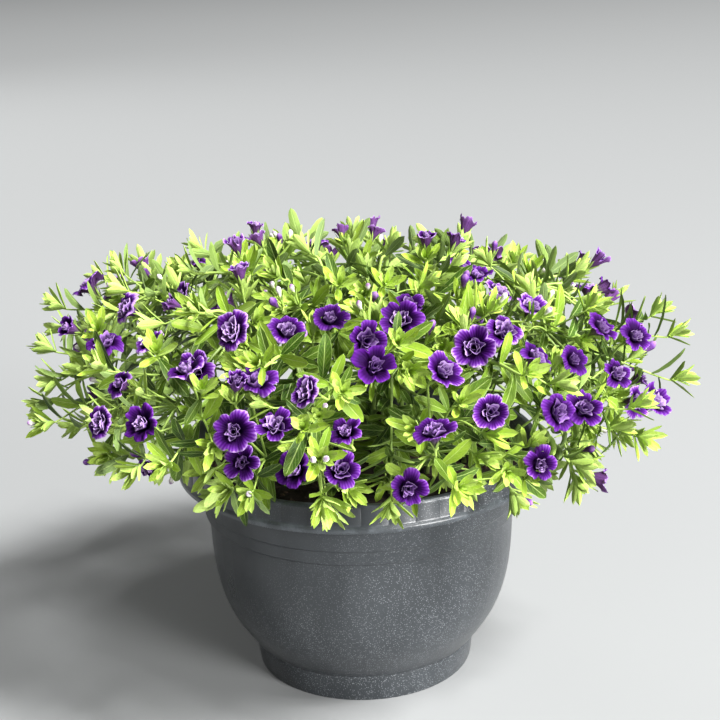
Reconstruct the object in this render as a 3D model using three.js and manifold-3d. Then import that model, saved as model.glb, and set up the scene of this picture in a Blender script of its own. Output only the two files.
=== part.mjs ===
// Double-flowered calibrachoa in a moulded plastic bowl pot.
// Millimetres, +Z up. The origin is the centre of the pot's foot on the surface it stands on, and the
// front of the plant looks along -Y.
import * as THREE from "three";
import { mergeVertices } from "three/addons/utils/BufferGeometryUtils.js";
import Module from "manifold-3d";

const wasm = await Module();
wasm.setup();

// ---------------------------------------------------------------- driving dimensions
const GAP = 0.35; // clear space between pieces that touch on the real plant
const SLIVER = 0.05; // edges shorter than this are merged away
const TAU = Math.PI * 2;

// Pot: a bowl on a foot ring, with two stepped collars under a turned-down rim.
const POT_SIDES = 26;
const POT_HEIGHT = 174.5;
const RIM_RADIUS = 135;
const FOOT_RADIUS = 81.5;
const FOOT_HEIGHT = 18.5;
const WALL = 3;
const FLOOR_UNDER = 20.5;
const FLOOR_TOP = 24.5;
const DRAIN_HOLES = 8;
const DRAIN_RADIUS = 5;
const DRAIN_CIRCLE = 52;
// The bowl's outer wall from the foot's crease to the first collar: radius and height.
const BOWL = [
  [86.5, 23],
  [95, 35],
  [102.5, 48],
  [108.5, 65],
  [112.4, 88],
  [114.2, 123],
];

// Potting soil, up to a little under the rim.
const SOIL_SIDES = 12;
const SOIL_EDGE = 158;
const SOIL_CROWN = 162;

// The mound of foliage: a rounded box of revolution, deeper above its widest level than below it.
const MOUND_WIDTH = 219; // half width from side to side
const MOUND_FRONT = 211; // from the axis to the front
const MOUND_BACK = 206; // from the axis to the back
const MOUND_LEVEL = 238; // height of the widest level
const MOUND_RISE = 64; // from the widest level to the top
const MOUND_DROP = 55; // from the widest level to the underside
const MOUND_TILT = 0.035; // how fast it gets lower towards the right
const MOUND_POWER = 2.7;
const MOUND_HEART = 190; // flowers and leaves look away from this height on the axis

const OUTER_STEMS = 12;
const INNER_STEMS = 8;
const OUTER_ROOT_CIRCLE = 74;
const INNER_ROOT_CIRCLE = 32;
const STEM_DEPTH = 12; // how far a stem stands in its hole in the soil
const STEM_RADIUS = 1.9;
const TWIG_RADIUS = 1.15;
const TIP_STRETCH = 9; // the last stretch of a twig, which turns up and carries the leaves at its tip
const TIP_WHORLS = [6.4, 2]; // how far those leaves stand from the end
const STALK_RADIUS = 1;

// Shoot tips: a sunflower spiral over the top, which goes on down the sides.
const SHOOT_TIPS = 40;
const GOLDEN_ANGLE = TAU * 0.381966;
const FIRST_BEARING = 0.4;
const TOP_SHARE = 0.5; // share of the tips that stand on the top
const TOP_SPREAD = 0.86; // how far out the top's tips go, as a share of the mound's width
const INNER_SPREAD = 0.6; // tips nearer the middle than this grow from the inner stems
const SIDE_START = 0.72; // rise of the first tip on the sides, and of the last
const SIDE_END = -0.84;

const LEAF_LENGTH = 28;
const LEAF_WIDTH = 9;
const TIP_LEAF_LENGTH = 19;
const TIP_LEAF_WIDTH = 5.8;
const KEEL_SHARE = 0.13; // depth of a leaf's keel for its width
const WHORL_SPACING = 27;
const WHORL_HEIGHT = 2.4; // length of twig that a whorl of leaves grows from
const LEAFY_LENGTH = 58; // how far the leaves go back along a twig from its tip

const BLOOM_RADIUS = 12.8;
const BLOOM_DEPTH = 13; // from the calyx to the level of the lobes
const THROAT_RADIUS = 4.2;
const CALYX_RADIUS = 2.1;
const SEPARATE_BLOOMS = 38; // the rest are fused with their sprays
const STALK_SHORTEST = 12;
const STALK_LONGEST = 60;

// The flowers that face the front: bearing in degrees from the front, to the right, and rise on the mound
// from 0 at its widest level to 1 at its top and -1 at its underside.
const FRONT_BLOOMS = [
  [-2, 0.27],
  [12, 0.26],
  [-8, 0.93],
  [12, 0.88],
  [-18, 0.88],
  [3, 0.84],
  [-17, 0.69],
  [-13, 0.53],
  [-10, 0.61],
  [-4, 0.62],
  [17, 0.68],
  [19, 0.46],
  [-20, 0.19],
  [-20, -0.06],
  [-14, -0.02],
  [-11, 0.25],
  [-2, -0.06],
  [16, 0.06],
  [22, 0.36],
  [8, -0.42],
  [34, 0.65],
  [45, 0.6],
  [35, 0.25],
  [39, 0.05],
  [47, 0.15],
  [53, 0.42],
  [-33, 0.62],
  [-30, 0.7],
  [-27, 0.37],
  [-45, 0.4],
  [-48, 0.05],
  [-39, 0.12],
  [-47, 0.71],
  [-58, 0.62],
  [71, 0.53],
  [79, 0.04],
  [65, 0.7],
  [-70, 0.78],
  [4, 0.48],
  [4, 0.73],
  [26, 0.78],
  [38, 0.83],
  [55, -0.11],
  [72, -0.23],
  [32, -0.32],
  [24, 0.98],
  [60, 0.88],
  [67, 0.94],
  [111, 0.97],
  [-87, 0.95],
  [-37, 0.86],
  [-67, 0.9],
  [-97, 0.63],
];
// Shoots that stand out from the mound, or hang over the rim in front: bearing, rise and reach.
const STRAY_SHOOTS = [
  [-100, 0.8, 1.04],
  [-95, 0.45, 1.01],
  [-78, -0.1, 0.96],
  [86, 0.5, 1.02],
  [79, -0.1, 1.02],
  [64, -0.5, 1],
  [55, -0.3, 0.92],
  [47, -0.62, 0.96],
  [31, -0.55, 0.98],
  [17, -0.5, 0.95],
  [7, -0.8, 1],
  [-7, -0.55, 0.97],
  [-24, -0.66, 1],
  [-42, -0.5, 1],
  [-3, 0.5, 0.94],
  [-6, -0.35, 0.8],
  [10, -0.62, 0.8],
  [24, -0.3, 0.82],
  [-29, -0.4, 0.84],
];
// More flowers stand round the back by rule, from this bearing on.
const BACK_BLOOMS = 22;
const BACK_START = 96;
const BACK_SPAN = 160;

// ---------------------------------------------------------------- materials
const material = (color, roughness) => new THREE.MeshStandardMaterial({ color, roughness, metalness: 0 });
const POT_PLASTIC = material(0x34383c, 0.42);
const SOIL = material(0x221a14, 0.95);
const FOLIAGE = material(0x86ad3a, 0.5);
const PETALS = material(0x4a2388, 0.6);

// ---------------------------------------------------------------- small helpers
const vector = (x, y, z) => new THREE.Vector3(x, y, z);
const mix = (a, b, t) => a.clone().lerp(b, t);
const along = (p, d, s) => p.clone().addScaledVector(d, s);
const UP = vector(0, 0, 1);

// A repeatable number from 0 to 1 for any two whole numbers.
function draw(a, b) {
  let h = Math.imul(a + 1, 0x9e3779b1) ^ Math.imul(b + 1, 0x85ebca6b);
  h = Math.imul(h ^ (h >>> 15), 0x2c1b3c6d);
  h = Math.imul(h ^ (h >>> 12), 0x297a2d39);
  return ((h ^ (h >>> 15)) >>> 0) / 4294967296;
}
const spread = (a, b, size) => (draw(a, b) * 2 - 1) * size;

// Two unit vectors square to a direction and to each other.
function frameOf(direction) {
  const level = Math.abs(direction.z) > 0.95 ? vector(1, 0, 0) : UP;
  const side = level.clone().cross(direction).normalize();
  return [side, direction.clone().cross(side)];
}

// A ring of points round a centre, square to two given axes.
function ring(centre, first, second, radius, count, turn = 0) {
  const points = [];
  for (let i = 0; i < count; i++) {
    const angle = turn + (TAU * i) / count;
    const r = Array.isArray(radius) ? radius[i % radius.length] : radius;
    points.push(along(along(centre, first, r * Math.cos(angle)), second, r * Math.sin(angle)));
  }
  return points;
}

// Faces between two loops of corner numbers, matched by their share of the way round.
function band(a, b) {
  const faces = [];
  const turnsA = a.length > 1 ? a.length : 0;
  const turnsB = b.length > 1 ? b.length : 0;
  let i = 0;
  let j = 0;
  while (i < turnsA || j < turnsB) {
    const here = a[i % a.length];
    const there = b[j % b.length];
    if (j >= turnsB || (i < turnsA && (i + 0.5) / a.length <= (j + 0.5) / b.length)) {
      i += 1;
      faces.push([here, a[i % a.length], there]);
    } else {
      j += 1;
      faces.push([here, b[j % b.length], there]);
    }
  }
  return faces;
}

// A skin that is built up loop by loop.
class Skin {
  points = [];
  faces = [];

  // Adds a loop of points and gives back their numbers.
  loop(points) {
    return points.map((p) => this.points.push(p) - 1);
  }

  // Joins a row of loops one to the next and gives back the last.
  draw(first, rows) {
    let last = first;
    for (const points of rows) {
      const next = this.loop(points);
      this.faces.push(...band(last, next));
      last = next;
    }
    return last;
  }

  cap(loop) {
    for (let i = 2; i < loop.length; i++) this.faces.push([loop[0], loop[i - 1], loop[i]]);
  }

  geometry() {
    const position = this.points.flatMap((p) => [p.x, p.y, p.z]);
    const geometry = new THREE.BufferGeometry();
    geometry.setAttribute("position", new THREE.Float32BufferAttribute(position, 3));
    geometry.setIndex(this.faces.flat());
    return geometry;
  }
}

// Closed solid over a row of rings, each of any count of points. A ring of one point closes an end.
function loft(rings) {
  const skin = new Skin();
  const first = skin.loop(rings[0]);
  skin.cap(first.toReversed());
  skin.cap(skin.draw(first, rings.slice(1)));
  return solid(skin.geometry());
}

// Six times the volume inside a closed mesh, with a sign that tells which way its faces point.
function signedVolume(position, index) {
  const [a, b, c] = [vector(0, 0, 0), vector(0, 0, 0), vector(0, 0, 0)];
  let total = 0;
  for (let i = 0; i < index.length; i += 3) {
    a.fromArray(position, index[i] * 3);
    b.fromArray(position, index[i + 1] * 3);
    c.fromArray(position, index[i + 2] * 3);
    total += a.dot(b.cross(c));
  }
  return total;
}

// The solid of a closed three.js geometry, turned the right way out.
function solid(geometry, tolerance = 1e-4) {
  const bare = geometry.clone();
  bare.deleteAttribute("normal");
  bare.deleteAttribute("uv");
  const merged = mergeVertices(bare, tolerance);
  const vertProperties = merged.attributes.position.array;
  const triVerts = new Uint32Array(merged.index.array);
  if (signedVolume(vertProperties, triVerts) < 0) triVerts.reverse();
  return new wasm.Manifold(new wasm.Mesh({ numProp: 3, vertProperties, triVerts }));
}

// Joins a list of solids into one.
function join(solids) {
  let row = solids;
  while (row.length > 1) {
    const next = [];
    for (let i = 0; i < row.length; i += 2) {
      next.push(i + 1 < row.length ? row[i].add(row[i + 1]) : row[i]);
    }
    row = next;
  }
  return row[0];
}

// The geometry of a solid's largest body.
function largestBody(made) {
  const bodies = made.decompose();
  bodies.sort((a, b) => b.volume() - a.volume());
  const { vertProperties, triVerts, numProp } = bodies[0].getMesh();
  const position = [];
  for (let i = 0; i < vertProperties.length; i += numProp) {
    position.push(vertProperties[i], vertProperties[i + 1], vertProperties[i + 2]);
  }
  const geometry = new THREE.BufferGeometry();
  geometry.setAttribute("position", new THREE.Float32BufferAttribute(position, 3));
  geometry.setIndex(Array.from(triVerts));
  return geometry;
}

// A three.js mesh of a solid, with slivers merged away and any scrap that this cuts loose left out.
function meshOf(name, made, look) {
  let geometry = largestBody(made.simplify(SLIVER));
  for (let pass = 0; pass < 2; pass++) geometry = largestBody(solid(geometry, 2e-3));
  geometry.computeVertexNormals();
  const mesh = new THREE.Mesh(geometry, look);
  mesh.name = name;
  return mesh;
}

// A solid of revolution about the Z axis from radius and height pairs.
function turned(profile, sides) {
  const points = profile.map(([r, z]) => new THREE.Vector2(r, z));
  return solid(new THREE.LatheGeometry(points, sides).rotateX(Math.PI / 2));
}

// ---------------------------------------------------------------- pot and soil
const COLLAR = [
  [117.2, 124.6],
  [118, 134.4],
  [120.2, 135.6],
  [121.3, 152],
];
const inward = ([r, z]) => [r - WALL, z + WALL * 0.6];
const INNER_WALL = [[128, POT_HEIGHT], [118.4, 152], ...BOWL.toReversed().map(inward)];

function makePot() {
  const rim = [
    [127.5, 166],
    [131.4, 166],
    [132.6, 154.6],
    [RIM_RADIUS, 155.2],
    [RIM_RADIUS, 158.4],
    [133.4, 160],
    [132.8, POT_HEIGHT - 1.5],
    [131.6, POT_HEIGHT],
  ];
  const profile = [
    [0, FLOOR_UNDER],
    [FOOT_RADIUS - 4, FLOOR_UNDER],
    [FOOT_RADIUS - 3, 0],
    [FOOT_RADIUS, 0],
    [FOOT_RADIUS + 2.5, FOOT_HEIGHT],
    [FOOT_RADIUS + 2.1, FOOT_HEIGHT + 2],
    ...BOWL,
    ...COLLAR,
    ...rim,
    ...INNER_WALL,
    [FOOT_RADIUS - 1.5, FLOOR_TOP],
    [0, FLOOR_TOP],
  ];
  let pot = turned(profile, POT_SIDES);
  for (let i = 0; i < DRAIN_HOLES; i++) {
    const angle = (TAU * i) / DRAIN_HOLES;
    const drill = new THREE.CylinderGeometry(DRAIN_RADIUS, DRAIN_RADIUS, 12, 8).rotateX(Math.PI / 2);
    drill.translate(DRAIN_CIRCLE * Math.cos(angle), DRAIN_CIRCLE * Math.sin(angle), FLOOR_TOP - 2);
    pot = pot.subtract(solid(drill));
  }
  return meshOf("pot", pot, POT_PLASTIC);
}

const SOIL_TOP = [[0, SOIL_CROWN], [60, SOIL_CROWN - 1], [118, SOIL_EDGE]];
function soilHeight(radius) {
  const [inner, outer] = radius < SOIL_TOP[1][0] ? SOIL_TOP : SOIL_TOP.slice(1);
  return inner[1] + ((outer[1] - inner[1]) * (radius - inner[0])) / (outer[0] - inner[0]);
}

function makeSoil(stems) {
  const inside = Math.cos(Math.PI / POT_SIDES);
  const wall = INNER_WALL.slice(2).map(([r, z]) => [r * inside - GAP, z]);
  const profile = [...SOIL_TOP, ...wall, [FOOT_RADIUS - 2.5, FLOOR_TOP + GAP], [0, FLOOR_TOP + GAP]];
  let soil = turned(profile.toReversed(), SOIL_SIDES);
  for (const stem of stems) {
    const foot = stem.root;
    const depth = STEM_DEPTH + GAP;
    const hole = new THREE.CylinderGeometry(STEM_RADIUS + 1.4, STEM_RADIUS + 1.4, 2 * depth, 4);
    hole.rotateX(Math.PI / 2).translate(foot.x, foot.y, foot.z - GAP + depth);
    soil = soil.subtract(solid(hole));
  }
  return meshOf("soil", soil, SOIL);
}

// ---------------------------------------------------------------- room for each piece
// Every leaf, twig and flower keeps a snug box, so that pieces of different nodes stay clear.
const boxes = [];

function boxOf(centre, axes, half, owner) {
  return { centre, axes, half, ...owner, reach: Math.hypot(...half) };
}

// A box round a straight stretch from a to b, with a side direction and two half sizes.
function stretch(a, b, side, wide, thick, owner) {
  const run = b.clone().sub(a);
  const length = run.length();
  const u = run.multiplyScalar(1 / length);
  const w = u.clone().cross(side).normalize();
  return boxOf(mix(a, b, 0.5), [u, w.clone().cross(u), w], [length / 2, wide, thick], owner);
}

// Whether two turned boxes leave less than the gap between them along every separating line.
function touching(a, b) {
  const between = b.centre.clone().sub(a.centre);
  if (between.length() > a.reach + b.reach + GAP) return false;
  const lines = [...a.axes, ...b.axes];
  for (const p of a.axes) {
    for (const q of b.axes) {
      const square = p.clone().cross(q);
      if (square.length() > 1e-3) lines.push(square.normalize());
    }
  }
  for (const line of lines) {
    let room = Math.abs(between.dot(line)) - GAP;
    for (let k = 0; k < 3; k++) {
      room -= a.half[k] * Math.abs(a.axes[k].dot(line));
      room -= b.half[k] * Math.abs(b.axes[k].dot(line));
    }
    if (room > 0) return false;
  }
  return true;
}

// Foliage keeps off the rim and the soil.
const POT_KEEP_OUT = 139;
function overPot(box) {
  const [u, v, w] = box.axes;
  const [a, b, c] = box.half;
  for (const i of [-1, 1]) {
    for (const j of [-1, 1]) {
      for (const k of [-1, 1]) {
        const p = along(along(along(box.centre, u, i * a), v, j * b), w, k * c);
        if (p.z < POT_HEIGHT + 2 && Math.hypot(p.x, p.y) < POT_KEEP_OUT) return true;
      }
    }
  }
  return false;
}

// Within a node the stems may meet, and so may the roots of leaves on one twig. Nothing else may.
function mayMeet(a, b) {
  if (a.node !== b.node || a.role === "free" || b.role === "free") return false;
  return (a.role === "stem" && b.role === "stem") || a.twig === b.twig;
}

function hasRoom(candidates) {
  return !candidates.some((box) => boxes.some((other) => !mayMeet(box, other) && touching(box, other)));
}

// ---------------------------------------------------------------- the plant's plan
function onMound(bearing, rise) {
  const out = (1 - Math.abs(rise) ** MOUND_POWER) ** (1 / MOUND_POWER);
  const height = rise > 0 ? MOUND_RISE : MOUND_DROP;
  const x = MOUND_WIDTH * out * Math.sin(bearing);
  const y = -out * Math.cos(bearing);
  const z = MOUND_LEVEL + height * rise - MOUND_TILT * x;
  return vector(x, y * (y < 0 ? MOUND_FRONT : MOUND_BACK), z);
}

// The direction out of the mound at a point.
const outward = (p) => vector(p.x, p.y, (p.z - MOUND_HEART) * 1.1).normalize();

function shootTips() {
  const tips = [];
  const add = (bearing, rise, reach, inner) => {
    const tip = onMound(bearing, Math.min(rise, 0.99));
    tip.x *= reach;
    tip.y *= reach;
    tips.push({ tip, bearing, inner });
  };
  for (let i = 0; i < SHOOT_TIPS; i++) {
    const u = (i + 0.5) / SHOOT_TIPS;
    const bearing = FIRST_BEARING + i * GOLDEN_ANGLE + spread(i, 1, 0.12);
    const out = TOP_SPREAD * Math.sqrt(Math.min(u / TOP_SHARE, 1));
    const onTop = (1 - out ** MOUND_POWER) ** (1 / MOUND_POWER);
    const onSide = SIDE_START + ((SIDE_END - SIDE_START) * (u - TOP_SHARE)) / (1 - TOP_SHARE);
    const rise = (u < TOP_SHARE ? onTop : onSide) + spread(i, 2, 0.04);
    add(bearing, rise, 1 + spread(i, 3, 0.035), out < INNER_SPREAD && u < TOP_SHARE);
  }
  for (const [bearing, rise, reach] of STRAY_SHOOTS) {
    add(THREE.MathUtils.degToRad(bearing), rise, reach, false);
  }
  return tips;
}

// Points on a curve that leaves a, heads for b and ends at c.
function bend(a, b, c, steps) {
  return new THREE.QuadraticBezierCurve3(a, b, c).getPoints(steps);
}

// The point at a share of a path's length, and the direction there.
function pointAlong(path, share) {
  const lengths = path.slice(1).map((p, i) => p.distanceTo(path[i]));
  let left = share * lengths.reduce((a, b) => a + b, 0);
  let i = 0;
  while (i + 1 < lengths.length && left > lengths[i] + SLIVER) {
    left -= lengths[i];
    i += 1;
  }
  return [mix(path[i], path[i + 1], left / lengths[i]), path[i + 1].clone().sub(path[i]).normalize()];
}
const lengthOf = (path) => path.slice(1).reduce((sum, p, i) => sum + p.distanceTo(path[i]), 0);

// The foot of a stem, at the bottom of its hole.
function rootOf(inner, k) {
  const count = inner ? INNER_STEMS : OUTER_STEMS;
  const bearing = (TAU * (k + 0.5)) / count;
  const circle = (inner ? INNER_ROOT_CIRCLE : OUTER_ROOT_CIRCLE) + spread(k, inner ? 11 : 12, 6);
  return vector(circle * Math.sin(bearing), -circle * Math.cos(bearing), soilHeight(circle) - STEM_DEPTH);
}

// Boxes along a stem, round its thickness.
function stemBoxes(path, radius, owner) {
  const found = [];
  for (let i = 0; i + 1 < path.length; i++) {
    const [side] = frameOf(path[i + 1].clone().sub(path[i]).normalize());
    found.push(stretch(path[i], path[i + 1], side, radius, radius, owner));
  }
  return found;
}

// A path with a short last stretch that turns up towards the light.
function withTip(path) {
  const tip = path[path.length - 1];
  const axis = tip.clone().sub(path[path.length - 2]).normalize();
  return [...path, along(tip, axis.addScaledVector(UP, 0.5).normalize(), TIP_STRETCH)];
}

// Groups the shoot tips by the rooted stem that they grow from, and lays out every stem and twig.
function layOutStems() {
  const stems = [];
  for (const inner of [false, true]) {
    const count = inner ? INNER_STEMS : OUTER_STEMS;
    for (let k = 0; k < count; k++) {
      const name = `${inner ? "inner" : "outer"}_spray_${String(k + 1).padStart(2, "0")}`;
      stems.push({ name, root: rootOf(inner, k), tips: [], twigs: [] });
    }
  }
  for (const { tip, bearing, inner } of shootTips()) {
    const turn = (((bearing / TAU) % 1) + 1) % 1;
    const k = Math.floor(turn * (inner ? INNER_STEMS : OUTER_STEMS));
    stems[inner ? OUTER_STEMS + k : k].tips.push(tip);
  }
  stems.forEach((stem, node) => {
    const leader = stem.tips[0];
    const collar = along(stem.root, UP, STEM_DEPTH + 4);
    const heading = mix(collar, leader, 0.35);
    heading.z = Math.max(leader.z, MOUND_LEVEL) + 12;
    const path = withTip([stem.root, ...bend(collar, heading, leader, 5)]);
    boxes.push(...stemBoxes(path, STEM_RADIUS, { node, twig: 0, role: "stem" }));
    stem.twigs.push({ path, radius: STEM_RADIUS });
  });
  stems.forEach((stem, node) => {
    stem.tips.slice(1).forEach((tip, j) => {
      for (let attempt = 0; attempt < 4; attempt++) {
        const from = stem.twigs[0].path[2 + ((j + attempt) % 3)];
        const heading = mix(from, tip, 0.5);
        heading.z += 14 - 9 * attempt;
        const path = withTip(bend(from, heading, tip, 3));
        const room = stemBoxes(path, TWIG_RADIUS, { node, twig: stem.twigs.length, role: "stem" });
        if (hasRoom(room) && !room.some(overPot)) {
          boxes.push(...room);
          stem.twigs.push({ path, radius: TWIG_RADIUS });
          return;
        }
      }
    });
  });
  return stems;
}

// The place on any twig that a flower's stalk best grows from: near its neck, and well behind it.
function stalkPlace(stems, neck, look) {
  let best = null;
  stems.forEach((stem, node) => {
    stem.twigs.forEach(({ path }, twig) => {
      for (let i = 2; i + 2 < path.length; i++) {
        const run = neck.clone().sub(path[i]);
        const gap = run.length();
        const behind = run.dot(look) / gap;
        const score = gap * (1.8 - behind);
        if (gap < STALK_SHORTEST || gap > STALK_LONGEST || behind < 0.35) continue;
        if (!best || score < best.score) best = { score, stem, node, twig, from: path[i] };
      }
    });
  });
  return best;
}

function bloomPlaces() {
  const places = FRONT_BLOOMS.map(([bearing, rise]) => [THREE.MathUtils.degToRad(bearing), rise]);
  for (let i = 0; i < BACK_BLOOMS; i++) {
    const bearing = BACK_START + ((i * 61.8) % 100) * (BACK_SPAN / 100);
    const rise = 0.995 - (1.2 * (i + 0.5)) / BACK_BLOOMS;
    places.push([THREE.MathUtils.degToRad(bearing), rise]);
  }
  return places;
}

// Places the flowers: each looks out of the mound and up, and stands on a stalk from a twig. Where one has no room
// it is turned and shifted, a little further with every attempt.
function layOutBlooms(stems) {
  const blooms = [];
  bloomPlaces().forEach(([bearing, rise], i) => {
    const face = onMound(bearing, rise);
    const out = outward(face);
    for (let attempt = 0; attempt < 12; attempt++) {
      const look = out.clone();
      look.x += spread(i, 20 + attempt, 0.65);
      look.y += spread(i, 40 + attempt, 0.65) - 0.1;
      look.z += spread(i, 60 + attempt, 0.55) + 0.45;
      look.normalize();
      const size = 1 + spread(i, 80, 0.13);
      const shift = 2.2 * attempt;
      const centre = along(face, out, -0.5 * shift);
      centre.x += spread(i, 100 + attempt, shift);
      centre.y += spread(i, 120 + attempt, shift);
      centre.z += spread(i, 140 + attempt, shift * 0.6);
      const neck = along(centre, look, -BLOOM_DEPTH * size);
      const place = stalkPlace(stems, neck, look);
      if (!place) continue;
      const separate = blooms.length < SEPARATE_BLOOMS;
      const own = { node: separate ? 1000 + blooms.length : place.node, role: "free" };
      const [side, top] = frameOf(look);
      const radius = BLOOM_RADIUS * size;
      const middle = along(centre, look, -BLOOM_DEPTH * size * 0.22);
      const head = boxOf(middle, [side, top, look], [radius, radius, 5.2 * size], own);
      const tube = stretch(neck, middle, side, THROAT_RADIUS, THROAT_RADIUS, own);
      const cup = along(neck, look, -GAP);
      const { node, twig } = place;
      const stalk = stretch(place.from, cup, side, 2, 2, { node, twig, role: "stem" });
      if ([head, tube, stalk].some(overPot) || !hasRoom([head, tube, stalk])) continue;
      boxes.push(head, tube, stalk);
      blooms.push({ neck, cup, look, side, top, size, separate, from: place.from, stem: place.stem });
      return;
    }
  });
  return blooms;
}

// The rings of a twig's rod, from its root to its tip: one at each bend, and two at each whorl of leaves,
// which grow from the faces between them. Each ring is turned as little as can be from the one before.
function layOutRings({ path, radius }) {
  const total = lengthOf(path);
  const whorls = TIP_WHORLS.map((fromEnd) => total - fromEnd);
  const bare = Math.max(total - LEAFY_LENGTH, 8);
  for (let s = whorls[0] - WHORL_SPACING; s > bare; s -= WHORL_SPACING) whorls.unshift(s);
  const places = [];
  let run = 0;
  path.forEach((p, i) => {
    if (i > 0) run += p.distanceTo(path[i - 1]);
    if (!whorls.some((s) => Math.abs(s - run) < WHORL_HEIGHT)) places.push({ s: run, bend: i });
  });
  whorls.forEach((s, i) => {
    places.push({ s: s - WHORL_HEIGHT / 2, fromTip: whorls.length - 1 - i }, { s: s + WHORL_HEIGHT / 2 });
  });
  places.sort((a, b) => a.s - b.s);
  let before = null;
  return places.map(({ s, bend, fromTip }) => {
    const [at, axis] = pointAlong(path, s / total);
    if (bend > 0 && bend + 1 < path.length) axis.add(path[bend + 1].clone().sub(at).normalize()).normalize();
    const side = before ? along(before, axis, -axis.dot(before)).normalize() : frameOf(axis)[0];
    before = side;
    const nearest = whorls.reduce((a, b) => (Math.abs(b - s) < Math.abs(a - s) ? b : a));
    const phase = (whorls.indexOf(nearest) * TAU) / 6;
    const top = axis.clone().cross(side);
    return { at, axis, side, top, phase, radius: radius * (1 - (0.5 * s) / total), fromTip, leaves: [] };
  });
}

// A leaf from a ring of its twig: its midline and side direction, or null where it has no room.
function placeLeaf({ at, axis, side, top }, { angle, open, length, width, droop, owner }) {
  const away = along(side.clone().multiplyScalar(Math.cos(angle)), top, Math.sin(angle));
  const direction = along(axis.clone().multiplyScalar(Math.cos(open)), away, Math.sin(open));
  const upper = along(axis.clone().multiplyScalar(Math.sin(open)), away, -Math.cos(open));
  const across = direction.clone().cross(upper);
  const midline = (t) => along(along(at, direction, length * t), upper, -droop * length * t * t);
  const half = (width * KEEL_SHARE) / 2;
  const centre = (t) => along(midline(t), upper, -half);
  const thick = half + 0.02 * length; // with room for the droop between the two ends
  const inner = stretch(centre(0.12), centre(0.55), across, width / 2, thick, { ...owner, role: "root" });
  const outer = stretch(centre(0.5), centre(1), across, width / 2, thick, { ...owner, role: "free" });
  if (overPot(inner) || overPot(outer) || !hasRoom([inner, outer])) return null;
  boxes.push(inner, outer);
  return { midline, across, upper, width };
}

// How the leaves of a ring lie: its face, its opening from the twig, length, width and droop.
function leafDraws(place, k, attempt, key) {
  const draws = key * 50 + k * 8 + attempt;
  const slender = place.fromTip < 2;
  const scale = (1 + spread(draws, 1, 0.12)) * (1 - 0.1 * attempt) * (place.fromTip === 0 ? 0.85 : 1);
  const open = [0.34, 0.72][place.fromTip] ?? 0.95;
  return {
    angle: place.phase + (TAU * (k + 0.5)) / 3 + spread(draws, 2, 0.12 * (1 + attempt)),
    open: open + 0.1 * attempt + spread(draws, 3, 0.14),
    length: (slender ? TIP_LEAF_LENGTH : LEAF_LENGTH) * scale,
    width: (slender ? TIP_LEAF_WIDTH : LEAF_WIDTH) * scale,
    droop: slender ? 0.12 : 0.22,
    slender,
  };
}

// Two whorls of slender leaves on every shoot tip, then whorls of broad ones back along the twigs. Where a
// leaf has no room it is tried again, turned, opened and shortened.
function layOutLeaves(stems) {
  for (const stem of stems) for (const twig of stem.twigs) twig.rings = layOutRings(twig);
  for (const atTip of [true, false]) {
    stems.forEach((stem, node) => {
      stem.twigs.forEach((twig, t) => {
        twig.rings.forEach((place, r) => {
          if (place.fromTip === undefined || place.fromTip < 2 !== atTip) return;
          const middle = { ...place, at: mix(place.at, twig.rings[r + 1].at, 0.5) };
          for (let k = 0; k < 3; k++) {
            for (let attempt = 0; attempt < 4 && !place.leaves[k]; attempt++) {
              const leaf = leafDraws(place, k, attempt, node * 60 + t * 8 + place.fromTip);
              const placed = placeLeaf(middle, { ...leaf, owner: { node, twig: t } });
              place.leaves[k] = placed && { ...placed, slender: leaf.slender };
            }
          }
        });
      });
    });
  }
}

// ---------------------------------------------------------------- the plant's solids
// The sections of a leaf: two edges and the keel under them, then its point.
function leafSections({ midline, across, upper, width, slender }) {
  const section = (t, share) => {
    const half = (width * share) / 2;
    const middle = midline(t);
    const keel = along(middle, upper, -width * share * KEEL_SHARE);
    return [along(middle, across, half), keel, along(middle, across, -half)];
  };
  return [...(slender ? [section(0.55, 1)] : [section(0.34, 0.76), section(0.7, 1)]), [midline(1)]];
}

// A twig with its leaves as one skin: a tapering three-sided rod, with each leaf drawn out of a face.
function leafyRod({ rings }) {
  const skin = new Skin();
  let below = null;
  rings.forEach((place, r) => {
    const { at, side, top, radius, phase } = place;
    const here = skin.loop(ring(at, side, top, radius, 3, phase));
    if (below) {
      for (let k = 0; k < 3; k++) {
        const next = (k + 1) % 3;
        const leaf = rings[r - 1].leaves[k];
        const face = [here[k], below[k], below[next], here[next]];
        if (leaf) skin.draw(face, leafSections(leaf));
        else skin.faces.push([face[0], face[1], face[2]], [face[0], face[2], face[3]]);
      }
    } else {
      skin.cap(here.toReversed());
    }
    below = here;
  });
  skin.cap(below);
  return solid(skin.geometry());
}

// The rings of a flower: five lobes and throat. The separate ones have a longer tube and the ruffled petals
// in the throat as well.
function bloomRings({ neck, look, side, top, size, separate }) {
  const at = (s) => along(neck, look, s * size);
  const rim = ring(at(BLOOM_DEPTH), side, top, [BLOOM_RADIUS * size, BLOOM_RADIUS * 0.8 * size], 10);
  if (!separate) return [rim, [at(9)]];
  const ruffle = [ring(at(9.6), side, top, 6.2 * size, 5), ring(at(14.6), side, top, 5.6 * size, 5, TAU / 10)];
  return [ring(at(8), side, top, THROAT_RADIUS * size, 5), rim, ...ruffle, [at(9)]];
}

// A flower's stalk runs from its twig to just behind the flower's cup, and then in line with the flower.
function stalkRings({ cup, from, look, side }) {
  const elbow = along(cup, look, -7);
  const run = elbow.clone().sub(from).normalize();
  const rings = [];
  for (const [at, axis, share] of [[from, run, 0.75], [elbow, mix(run, look, 0.5).normalize(), 1]]) {
    const across = along(side, axis, -axis.dot(side)).normalize();
    rings.push(ring(at, across, axis.clone().cross(across), STALK_RADIUS * share, 3));
  }
  return rings;
}

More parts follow.
